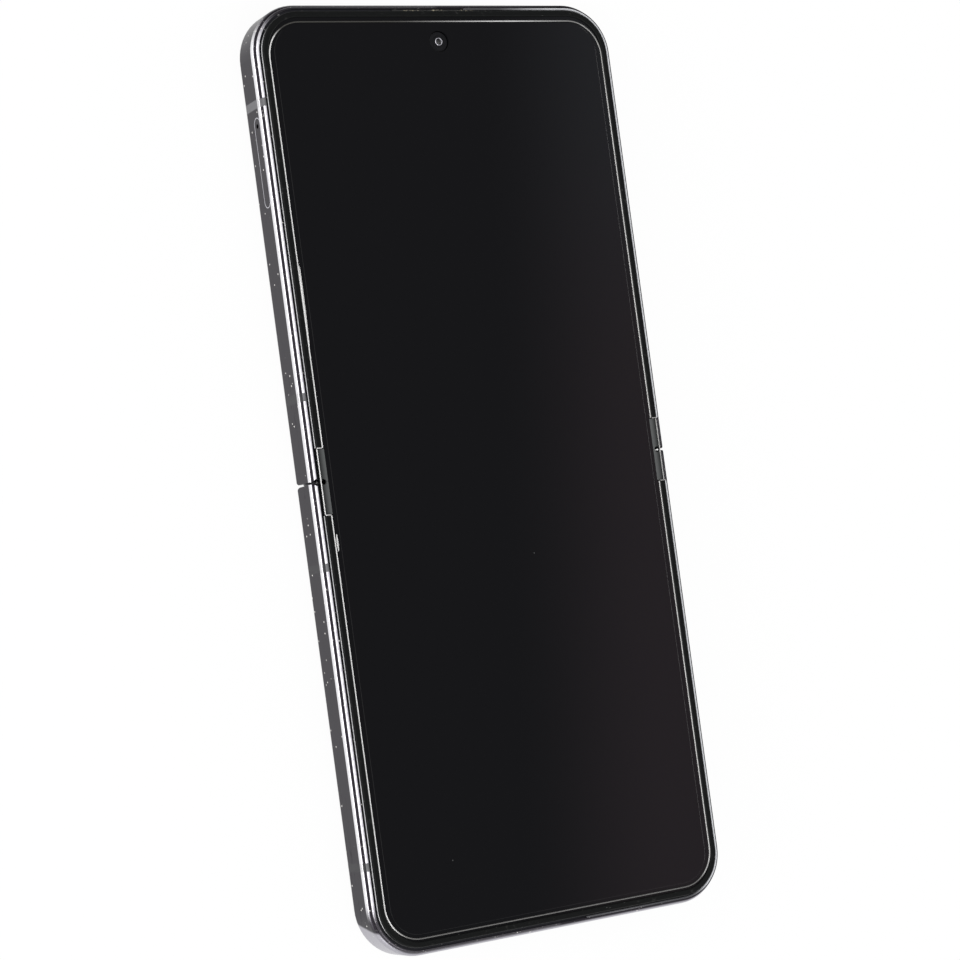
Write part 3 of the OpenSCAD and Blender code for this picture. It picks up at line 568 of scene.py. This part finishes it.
def ringMetal():
    f = newFinish("ringMetal")
    where = f.place()
    grain = f.noise(where, 6.0, 3.0)
    colour = f.mix(grain, (0.20, 0.195, 0.215), (0.28, 0.275, 0.295))
    return f.surface({
        "Base Color": colour, "Metallic": 1.0, "Roughness": 0.16 + grain * 0.12,
        "Normal": f.bump(grain, 0.005, 0.3),
    })


def lensGlass():
    f = newFinish("lensGlass")
    where = f.place()
    smear = f.noise(where, 0.3, 4.0)
    return f.surface({
        "Base Color": (0.90, 0.92, 0.95), "Transmission Weight": 1.0, "IOR": 1.45,
        "Roughness": smear * 0.03, "Normal": f.bump(smear, 0.002, 0.2),
    })


def flashLens():
    f = newFinish("flashLens")
    where = f.place()
    x, y, z = f.axes(where)
    low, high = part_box("flash")
    middle = (low + high) / 2 / mm
    away = ((x - middle.x) ** 2.0 + (y - middle.y) ** 2.0) ** 0.5
    ridges = (away * 18.0).math("SINE", away * 18.0)
    centre = 1 - f.step(away, 0.55, 0.85)
    colour = f.mix(centre, (0.80, 0.78, 0.72), (0.86, 0.70, 0.26))
    return f.surface({
        "Base Color": colour, "Roughness": 0.18 + centre * 0.2,
        "Normal": f.bump(ridges, 0.06, 0.6), "Specular IOR Level": 0.6,
    })


# ---- finishes of the inner pieces ----

def brushed(name, first, second, along, rough, metallic=1.0):
    f = newFinish(name)
    where = f.place()
    grain = f.noise(f.stretch(where, along), 5.0, 4.0, 0.6)
    stain = f.noise(where, 0.35, 3.0)
    colour = f.mix(grain * 0.6 + stain * 0.4, first, second)
    return f.surface({
        "Base Color": colour, "Metallic": metallic, "Roughness": rough + grain * 0.12 + stain * 0.06,
        "Normal": f.bump(grain, 0.01, 0.4),
    })


def cellFoil():
    f = newFinish("cellFoil")
    where = f.place()
    crease = f.noise(where, 0.18, 6.0, 0.65)
    colour = f.mix(crease, (0.035, 0.036, 0.038), (0.075, 0.077, 0.082))
    return f.surface({
        "Base Color": colour, "Metallic": 0.6, "Roughness": 0.35 + crease * 0.2,
        "Normal": f.bump(crease, 0.15, 0.6),
    })


def boardMask():
    f = newFinish("boardMask")
    where = f.place()
    track = f.node("TexBrick", {"offset": 0.5}, {
        "Vector": where, "Scale": 0.9, "Mortar Size": 0.03, "Mortar Smooth": 0.1,
        "Color1": (0.010, 0.045, 0.028, 1), "Color2": (0.014, 0.060, 0.036, 1),
        "Mortar": (0.02, 0.10, 0.06, 1),
    })
    pads = f.specks(where, 0.8, 0.12, 0.25)
    colour = f.mix(pads, track, (0.75, 0.55, 0.25))
    return f.surface({
        "Base Color": colour, "Metallic": pads, "Roughness": 0.32 + f.noise(where, 2.0) * 0.15,
        "Normal": f.bump(pads, 0.03, 0.5),
    })


def coilCopper():
    f = newFinish("coilCopper")
    where = f.place()
    x, y, z = f.axes(where)
    low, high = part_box("wireless_coil")
    middle = (low + high) / 2 / mm
    away = ((x - middle.x) ** 2.0 + (y - middle.y) ** 2.0) ** 0.5
    turns = (away * 6.0).math("SINE", away * 6.0) * 0.5 + 0.5
    colour = f.mix(turns, (0.35, 0.14, 0.05), (0.72, 0.36, 0.16))
    return f.surface({
        "Base Color": colour, "Metallic": 1.0, "Roughness": 0.28 + turns * 0.1,
        "Normal": f.bump(turns, 0.05, 0.6),
    })


def flexFilm():
    f = newFinish("flexFilm")
    where = f.place()
    x, y, z = f.axes(where)
    tracks = f.step((x * 9.0).math("SINE", x * 9.0), 0.2, 0.5)
    colour = f.mix(tracks, (0.30, 0.12, 0.025), (0.50, 0.24, 0.06))
    rough = 0.35 + tracks * 0.1
    return f.surface({"Base Color": colour, "Roughness": rough, "Normal": f.bump(tracks, 0.01, 0.5)})


def modulePlastic():
    f = newFinish("modulePlastic")
    where = f.place()
    grain = f.noise(where, 3.5, 4.0)
    colour = f.mix(grain, (0.004, 0.004, 0.005), (0.010, 0.010, 0.012))
    return f.surface({
        "Base Color": colour, "Roughness": 0.38 + grain * 0.2, "Normal": f.bump(grain, 0.02, 0.4),
        "Specular IOR Level": 0.12,
    })


def cardPlastic():
    f = newFinish("cardPlastic")
    where = f.place()
    x, y, z = f.axes(where)
    low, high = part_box("nano_sim")
    middle = (low + high) / 2 / mm
    pad = (1 - f.step(abs(x - middle.x), 4.2, 4.3)) * (1 - f.step(abs(y - middle.y), 3.2, 3.3))
    gaps = 1 - f.step(abs(abs(x - middle.x) - 1.6), 0.08, 0.12)
    gaps = gaps.most(1 - f.step(abs(y - middle.y), 0.08, 0.12))
    gold = pad * (1 - gaps)
    colour = f.mix(gold, (0.78, 0.78, 0.76), (0.85, 0.62, 0.25))
    return f.surface({
        "Base Color": colour, "Metallic": gold, "Roughness": 0.42 - gold * 0.15,
        "Normal": f.bump(f.noise(where, 8.0), 0.01, 0.3),
    })


even = (1.0, 1.0, 1.0)                # grain the same all ways
finishes = {
    "rail_metal": railMetal(),
    "antenna_plastic": antennaPlastic(),
    "back_glass": backGlass(),
    "display": displayGlass(),
    "rim_plastic": rimPlastic(),
    "strip_plastic": stripRubber(),
    "cell_foil": cellFoil(),
    "board": boardMask(),
    "flex_film": flexFilm(),
    "coil_copper": coilCopper(),
    "steel": brushed("steelParts", (0.42, 0.43, 0.45), (0.62, 0.63, 0.65), (0.2, 1.0, 1.0), 0.26),
    "idler_brass": brushed("idlerBrass", (0.60, 0.45, 0.20), (0.78, 0.62, 0.32), even, 0.28),
    "spine_metal": brushed("spineMetal", (0.030, 0.030, 0.034), (0.052, 0.051, 0.057),
                           (0.08, 1.0, 1.0), 0.28),
    "module_plastic": modulePlastic(),
    "key_metal": keyMetal(),
    "ring_metal": ringMetal(),
    "lens_glass": lensGlass(),
    "flash_lens": flashLens(),
    "card_plastic": cardPlastic(),
}
edgeMetal = brushed("polishedEdge", (0.46, 0.45, 0.49), (0.74, 0.73, 0.78), even, 0.16)
ownFinishes = {"upper_back_glass": coverGlass()}
for part in frame["record"]["subparts"]:
    node = nodes[part["node"]]
    finish = ownFinishes.get(part["node"], finishes[part["material_slot"]])
    node.data.materials.clear()
    node.data.materials.append(finish)
print("finishes on", len(nodes), "pieces")


# ---- modelling steps ----

def deselect():
    bpy.ops.object.select_all(action="DESELECT")


def settle(name):  # the newest primitive becomes a piece with its place in its mesh
    piece = bpy.context.object
    piece.name = name
    bpy.ops.object.transform_apply(location=True, rotation=True, scale=True)
    return piece


def block(name, low, high):
    deselect()
    middle = [(a + b) / 2 * mm for a, b in zip(low, high)]
    size = [(b - a) * mm for a, b in zip(low, high)]
    bpy.ops.mesh.primitive_cube_add(size=1, location=middle, scale=size)
    return settle(name)


def disc(name, place, radius, height, sides=48):
    deselect()
    middle = (place[0] * mm, place[1] * mm, (place[2] + height / 2) * mm)
    bpy.ops.mesh.primitive_cylinder_add(
        vertices=sides, radius=radius * mm, depth=height * mm, location=middle)
    return settle(name)


def choose(piece, kind, test):  # selects what passes the test on its middle and its direction
    bpy.ops.object.mode_set(mode="EDIT")
    bpy.ops.mesh.select_mode(type=kind)
    bpy.ops.mesh.select_all(action="DESELECT")
    shape = bmesh.from_edit_mesh(piece.data)
    if kind == "FACE":
        for face in shape.faces:
            face.select_set(test(face.calc_center_median() / mm, face.normal))
    elif kind == "EDGE":
        for edge in shape.edges:
            start, end = edge.verts[0].co, edge.verts[1].co
            edge.select_set(test((start + end) / 2 / mm, (end - start).normalized()))
    else:
        for point in shape.verts:
            point.select_set(test(point.co / mm, point.normal))
    bmesh.update_edit_mesh(piece.data)


def objectMode():
    bpy.ops.object.mode_set(mode="OBJECT")


def roundUpright(piece, radius, steps, test):
    choose(piece, "EDGE", lambda spot, way: abs(way.z) > 0.9 and test(spot))
    bpy.ops.mesh.bevel(offset=radius * mm, segments=steps, affect="EDGES")
    objectMode()


def sliceAlong(piece, axis, places):
    bpy.ops.object.mode_set(mode="EDIT")
    way = [0, 0, 0]
    way[axis] = 1
    for place in places:
        spot = [0, 0, 0]
        spot[axis] = place * mm
        bpy.ops.mesh.select_all(action="SELECT")
        bpy.ops.mesh.bisect(plane_co=spot, plane_no=way)
    objectMode()


def modify(piece, kind, **settings):
    bpy.context.view_layer.objects.active = piece
    added = piece.modifiers.new(kind.lower(), kind)
    for key, value in settings.items():
        setattr(added, key, value)
    bpy.ops.object.modifier_apply(modifier=added.name)


def cutAway(piece, tool):
    modify(piece, "BOOLEAN", operation="DIFFERENCE", object=tool, solver="EXACT")
    bpy.data.objects.remove(tool)


def smooth(piece, angle=30):
    deselect()
    piece.select_set(True)
    bpy.context.view_layer.objects.active = piece
    bpy.ops.object.shade_smooth_by_angle(angle=math.radians(angle))


def mirrored(piece, name):  # a copy on the other side of x = 0
    deselect()
    piece.select_set(True)
    bpy.context.view_layer.objects.active = piece
    bpy.ops.object.duplicate()
    copy = bpy.context.object
    copy.name = name
    bpy.ops.transform.mirror(
        orient_type="GLOBAL", constraint_axis=(True, False, False), center_override=(0, 0, 0))
    bpy.ops.object.transform_apply(location=True, rotation=True, scale=True)
    bpy.ops.object.mode_set(mode="EDIT")
    bpy.ops.mesh.select_all(action="SELECT")
    bpy.ops.mesh.normals_make_consistent(inside=False)
    objectMode()
    return copy


def joined(pieces, name):
    deselect()
    for piece in pieces:
        piece.select_set(True)
    bpy.context.view_layer.objects.active = pieces[0]
    bpy.ops.object.join()
    pieces[0].name = name
    return pieces[0]


def outlineRing(name, side, inset, width, low, high, soft, start, short=0.0):
    deselect()
    bpy.ops.mesh.primitive_plane_add(size=1, location=(0, 0, low * mm))
    bpy.context.object.scale = (2 * (halfWidth - inset) * mm, 2 * (halfLength - inset - short) * mm, 1)
    ring = settle(name)
    choose(ring, "VERT", lambda spot, way: True)
    bpy.ops.mesh.bevel(offset=(cornerRadius - inset) * mm, segments=16, affect="VERTICES")
    bpy.ops.mesh.select_mode(type="FACE")
    bpy.ops.mesh.select_all(action="SELECT")
    bpy.ops.mesh.inset(thickness=width * mm, use_boundary=True)
    bpy.ops.mesh.delete(type="FACE")
    bpy.ops.mesh.select_all(action="SELECT")
    bpy.ops.mesh.bisect(plane_co=(0, side * start * mm, 0), plane_no=(0, side, 0), clear_inner=True)
    objectMode()
    modify(ring, "SOLIDIFY", thickness=(high - low) * mm, offset=1.0)
    modify(ring, "BEVEL", width=soft * mm, segments=3, limit_method="ANGLE",
           angle_limit=math.radians(60))
    smooth(ring, 50)
    return ring


halves = {"lower": -1, "upper": 1}
bend = {"from": 5.2, "to": 0.8, "slices": 24}


def bendBetween(piece, half, side):  # bakes the piece's transform into its mesh
    if side < 0:
        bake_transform(piece)
    else:
        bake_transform(piece)


def bendPlaces(side, far):
    count = bend["slices"]
    return [side * far * (i + 1) / count for i in range(count - 1)]


# ---- protective film over the display ----

film = {"inset": 3.7, "thick": 0.08, "soft": 0.035, "corner": 14, "hole": 1.95}


def filmOver(half, side):
    wide = halfWidth - film["inset"]
    far = side * (halfLength - film["inset"])
    top = displayTop + film["thick"]
    sheet = block(half + "Film", (-wide, min(0, far), displayTop), (wide, max(0, far), top))
    roundUpright(sheet, cornerRadius - film["inset"], film["corner"], lambda spot: abs(spot.y) > 10)
    choose(sheet, "EDGE", lambda spot, way: abs(spot.z - top) < 0.001 and abs(spot.y) > 0.001)
    bpy.ops.mesh.bevel(offset=film["soft"] * mm, segments=2, affect="EDGES")
    objectMode()
    if side > 0:
        low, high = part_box("front_camera")
        spot = (low + high) / 2 / mm
        cutAway(sheet, disc("filmHole", (spot.x, spot.y, displayTop - 1), film["hole"], 3, 64))
    sliceAlong(sheet, 1, bendPlaces(side, 6.0))
    smooth(sheet, 12)
    sheet.data.materials.append(finishes["display"])
    bendBetween(sheet, half, side)


def foldStretch(half, side):  # narrower between the edge strips
    low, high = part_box(f"display_fold_{half}")
    low, high = low / mm, high / mm
    sheet = block(half + "FoldGlass", low, high)
    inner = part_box(f"{half}_fold_strips")[1].x / mm - strip["width"] - 0.05
    reach = side * foldEnd
    for edge in (-1, 1):
        nearX, farX = sorted((edge * inner, edge * (high.x + 1)))
        nearY, farY = sorted((-side, reach))
        cutAway(sheet, block("beside", (nearX, nearY, low.z - 1), (farX, farY, high.z + 1)))
    sliceAlong(sheet, 1, bendPlaces(side, 8.0))
    sheet.data.materials.append(finishes["display"])
    bendBetween(sheet, half, side)
    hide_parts(f"display_fold_{half}")


strip = {
    "width": 1.45, "soft": 0.07,
    "hole": 0.5, "holeIn": 0.65,      # relief hole at the fold line
    "piping": 0.16, "pipingSoft": 0.05, "pipingHalf": 0.06,
}


def edgeStrips(half, side):
    low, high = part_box(f"{half}_fold_strips")
    outer = high.x / mm
    first = block(half + "EdgeStrip", (outer - strip["width"], low.y / mm, low.z / mm), high / mm)
    cutAway(first, disc("relief", (outer - strip["holeIn"], 0, low.z / mm - 1), strip["hole"], 3, 40))
    modify(first, "BEVEL", width=strip["soft"] * mm, segments=2, limit_method="ANGLE")
    sliceAlong(first, 1, bendPlaces(side, 5.6))
    second = mirrored(first, "otherStrip")
    strips = joined([first, second], half + "EdgeStrips")
    smooth(strips, 12)
    strips.data.materials.append(finishes["strip_plastic"])
    bendBetween(strips, half, side)
    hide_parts(f"{half}_fold_strips")
    tall = high.z / mm
    left = block(half + "Piping", (-outer - 0.01, low.y / mm, tall - strip["pipingHalf"]),
                 (strip["piping"] - outer, high.y / mm, tall + strip["pipingHalf"]))
    modify(left, "BEVEL", width=strip["pipingSoft"] * mm, segments=3, limit_method="ANGLE")
    sliceAlong(left, 1, bendPlaces(side, 5.6))
    piping = joined([left, mirrored(left, "otherPiping")], half + "StripPiping")
    smooth(piping, 50)
    piping.data.materials.append(edgeBeadFinish)
    bendBetween(piping, half, side)


ribbon = {
    "width": 8.0, "thick": 0.15,
    "route": [(12.7, 6.8), (10.4, 6.8), (9.5, 5.9), (6.35, 5.9), (3.25, 4.2), (0, 4.0)],
}


def ribbonThrough(half, side):  # flat cable that crosses the hinge under the display
    route = ribbon["route"]
    deselect()
    bpy.ops.mesh.primitive_plane_add(size=1)
    strap = settle(half + "Ribbon")
    wide = ribbon["width"] / 2
    for point in strap.data.vertices:
        y, z = route[0] if point.co.y < 0 else route[1]
        point.co = (math.copysign(wide, point.co.x) * mm, y * mm, z * mm)
    choose(strap, "EDGE", lambda spot, way: abs(way.x) > 0.9 and spot.y < route[1][0] + 0.01)
    for (y0, z0), (y1, z1) in zip(route[1:], route[2:]):
        move = (0, (y1 - y0) * mm, (z1 - z0) * mm)
        bpy.ops.mesh.extrude_region_move(TRANSFORM_OT_translate={"value": move})
    bpy.ops.mesh.select_all(action="SELECT")
    bpy.ops.mesh.normals_make_consistent(inside=False)
    objectMode()
    modify(strap, "SOLIDIFY", thickness=ribbon["thick"] * mm, offset=-1.0)
    modify(strap, "BEVEL", width=0.04 * mm, segments=2, limit_method="ANGLE")
    if side < 0:
        strap.scale = (1, -1, 1)
        bpy.ops.object.transform_apply(location=True, rotation=True, scale=True)
    bpy.ops.object.mode_set(mode="EDIT")
    bpy.ops.mesh.select_all(action="SELECT")
    bpy.ops.mesh.normals_make_consistent(inside=False)
    objectMode()
    sliceAlong(strap, 1, bendPlaces(side, 6.3))
    strap.data.materials.append(finishes["flex_film"])
    bendBetween(strap, half, side)
    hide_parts(f"interconnect_{half}")


bead = {"width": 0.26, "height": 0.19, "soft": 0.10, "short": {"lower": 0.35, "upper": 0.7}}
seam = {"out": 0.08, "over": 0.03, "low": 6.74, "high": 6.94, "soft": 0.03}


def beads(half, side):
    # the inner bead's pale colour is a painted highlight on the rim's inner edge
    inner = outlineRing(half + "Bead", side, rimInner, bead["width"], displayTop,
                        displayTop + bead["height"], bead["soft"], foldEnd + 0.1, bead["short"][half])
    inner.data.materials.append(edgeBeadFinish)
    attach(inner, half + "_half")
    # the seam's pale colour is a painted highlight on the rim's outer edge
    outer = outlineRing(half + "Seam", side, rimOuter - seam["out"], seam["out"] + seam["over"],
                        backZ + seam["low"], backZ + seam["high"], seam["soft"], foldEnd + 0.1)
    outer.data.materials.append(rimEdgeGlintFinish)
    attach(outer, half + "_half")


lipGlintLine = {
    "nearEnd": (79.6, 81.6),          # the line fades out at the bottom right corner
    "in": 0.86, "width": 0.40, "low": 6.40, "high": 6.94, "soft": 0.16, "fromX": 6.0,
}


# painted highlight: a pale ring along the lip, kept on the key side only
def addLipGlint(half, side):
    ring = outlineRing(half + "LipGlint", side, lipGlintLine["in"], lipGlintLine["width"], backZ + lipGlintLine["low"],
                       backZ + lipGlintLine["high"], lipGlintLine["soft"], foldEnd + 0.1)
    bpy.ops.object.mode_set(mode="EDIT")
    bpy.ops.mesh.select_all(action="SELECT")
    bpy.ops.mesh.bisect(
        plane_co=(lipGlintLine["fromX"] * mm, 0, 0), plane_no=(1, 0, 0), use_fill=True, clear_inner=True)
    objectMode()
    ring.data.materials.append(lipGlintFinish)
    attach(ring, half + "_half")


rimEnd = {"thick": 0.14, "rise": 0.03, "soft": 0.05}


def rimEnds(half, side):  # painted highlight: the pale edge runs round each end of the rim
    parts = []
    for edge in (-1, 1):
        nearX, farX = sorted((edge * (halfWidth - rimOuter), edge * (halfWidth - rimInner)))
        nearY, farY = sorted((side * (foldEnd - 0.03), side * (foldEnd + rimEnd["thick"])))
        bar = block("bar", (nearX, nearY, rimTop - 0.3), (farX, farY, rimTop + rimEnd["rise"]))
        modify(bar, "BEVEL", width=rimEnd["soft"] * mm, segments=3, limit_method="ANGLE")
        parts.append(bar)
    ends = joined(parts, half + "RimEnds")
    smooth(ends, 50)
    ends.data.materials.append(edgeBeadFinish)
    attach(ends, half + "_half")


# ---- small fittings of the upper half ----

lensRing = {"radius": 0.62, "wire": 0.09, "below": 0.12, "lensBelow": 0.35}


def frontLens():
    low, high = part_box("front_camera")
    spot = (low + high) / 2 / mm
    top = displayTop - lensRing["below"]
    deselect()
    bpy.ops.mesh.primitive_torus_add(
        major_radius=lensRing["radius"] * mm, minor_radius=lensRing["wire"] * mm,
        major_segments=48, minor_segments=12, location=(spot.x * mm, spot.y * mm, top * mm))
    ring = settle("frontLensRing")
    smooth(ring, 60)
    ring.data.materials.append(edgeMetal)
    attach(ring, "upper_half")
    deselect()
    bpy.ops.mesh.primitive_uv_sphere_add(
        segments=32, ring_count=16, radius=(lensRing["radius"] - 0.02) * mm,
        location=(spot.x * mm, spot.y * mm, (top - lensRing["lensBelow"]) * mm))
    lens = settle("frontLens")
    smooth(lens, 60)
    lens.data.materials.append(darkGlass)
    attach(lens, "upper_half")


rearStack = {
    "rings": [(2.35, 0.07), (3.05, 0.05), (3.85, 0.06)],    # radius and wire
    "level": 0.02, "dome": 2.30, "crown": 0.13,
}


def rearLens(name, x, y):  # what shows under the glass of a back camera
    level = backZ + rearStack["level"]
    parts = []
    for radius, wire in rearStack["rings"]:
        deselect()
        bpy.ops.mesh.primitive_torus_add(
            major_radius=radius * mm, minor_radius=wire * mm,
            major_segments=64, minor_segments=8, location=(x * mm, y * mm, level * mm))
        parts.append(settle("stackRing"))
    rings = joined(parts, name + "Rings")
    smooth(rings, 60)
    rings.data.materials.append(finishes["ring_metal"])
    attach(rings, "upper_half")
    deselect()
    bpy.ops.mesh.primitive_uv_sphere_add(segments=48, ring_count=16, radius=1 * mm)
    dome = bpy.context.object
    dome.scale = (rearStack["dome"], rearStack["dome"], rearStack["crown"])
    dome.location = (x * mm, y * mm, (backZ + 0.05) * mm)
    dome = settle(name + "Dome")
    smooth(dome, 60)
    dome.data.materials.append(darkGlass)
    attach(dome, "upper_half")


def rearLenses():
    low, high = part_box("camera_lenses")
    low, high = low / mm, high / mm
    radius = (high.y - low.y) / 2
    rearLens("wideLens", high.x - radius, low.y + radius)
    rearLens("ultrawideLens", low.x + radius, low.y + radius)


trayEdge = {"face": 2.0, "margin": 0.04, "line": 0.15, "proud": 0.012, "deep": 0.12}


def trayOutline():  # pale, shiny metal edge of the slot round the card tray, a painted highlight on the slot's bevel
    low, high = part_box("sim_tray")
    out = -halfWidth - trayEdge["proud"]
    centre = (high.y + low.y) / 2 / mm
    faceHigh = (high.y - low.y) / 2 / mm
    top = high.z / mm
    bottom = top - trayEdge["face"]

    def stadium(name, grow, deep):
        piece = block(name, (out - deep, centre - faceHigh - grow, bottom - grow),
                      (out + trayEdge["deep"] + deep, centre + faceHigh + grow, top + grow))
        choose(piece, "EDGE", lambda spot, way: abs(way.x) > 0.9)
        bpy.ops.mesh.bevel(offset=((top - bottom) / 2 + grow - 0.01) * mm, segments=12, affect="EDGES")
        objectMode()
        return piece

    ring = stadium("trayOutline", trayEdge["margin"] + trayEdge["line"], 0)
    cutAway(ring, stadium("trayHole", trayEdge["margin"], 1))
    smooth(ring, 40)
    ring.data.materials.append(edgeMetal)
    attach(ring, "upper_half")


flakes = [
    {"at": (-33.12, 30.0), "half": (0.15, 7.2), "turn": -0.75},
    {"at": (-32.86, -10.6), "half": (0.14, 1.5), "turn": -0.5},
]


def filmFlakes():  # thin pale slivers where the film lifts beside the left bead; their pale colour is a painted highlight on the lifted film
    for number, flake in enumerate(flakes):
        deselect()
        bpy.ops.mesh.primitive_uv_sphere_add(segments=24, ring_count=12, radius=1 * mm)
        sliver = bpy.context.object
        sliver.scale = (flake["half"][0], flake["half"][1], 0.035)
        sliver.rotation_euler.z = math.radians(flake["turn"])
        sliver.location = (flake["at"][0] * mm, flake["at"][1] * mm, (displayTop + 0.11) * mm)
        sliver = settle("filmFlake" + "AB"[number])
        smooth(sliver, 60)
        sliver.data.materials.append(edgeBeadFinish)
        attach(sliver, "upper_half" if flake["at"][1] > 0 else "lower_half")


earMesh = {"half": 8.4, "from": 1.15, "to": 1.44, "low": 6.70, "high": 6.80}


def earpieceMesh():
    f = newFinish("earMesh")
    where = f.place()
    x, y, z = f.axes(where)
    dashes = f.step((x * 1.15).math("SINE", x * 1.15 + 0.6), -0.35, 0.05)
    crumbs = f.step(f.noise(where, 3.2, 4.0, 0.7), 0.50, 0.58)
    colour = f.mix(dashes * crumbs, (0.010, 0.010, 0.010), (0.42, 0.38, 0.28))
    rough = 0.5 + crumbs * 0.2
    finish = f.surface({"Base Color": colour, "Roughness": rough, "Normal": f.bump(crumbs, 0.04, 0.6)})
    mesh = block("earMesh", (-earMesh["half"], halfLength - earMesh["to"], backZ + earMesh["low"]),
                 (earMesh["half"], halfLength - earMesh["from"], backZ + earMesh["high"]))
    mesh.data.materials.append(finish)
    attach(mesh, "upper_half")


def blackGlass():
    f = newFinish("blackGlass")
    where = f.place()
    smear = f.noise(where, 0.8, 3.0)
    return f.surface({
        "Base Color": f.mix(smear, (0.002, 0.002, 0.003), (0.004, 0.004, 0.005)),
        "Roughness": 0.04 + smear * 0.04, "Normal": f.bump(smear, 0.002, 0.2),
    })


darkGlass = blackGlass()
edgeBeadFinish = edgeBead()
rimEdgeGlintFinish = rimEdgeGlint()
lipGlintFinish = lipGlint()
for half, side in halves.items():
    filmOver(half, side)
    foldStretch(half, side)
    edgeStrips(half, side)
    ribbonThrough(half, side)
    beads(half, side)
    addLipGlint(half, side)
    rimEnds(half, side)
print("film, fold stretch, strips, ribbons and beads made")
frontLens()
rearLenses()
trayOutline()
filmFlakes()
earpieceMesh()
print("fittings of the upper half made")
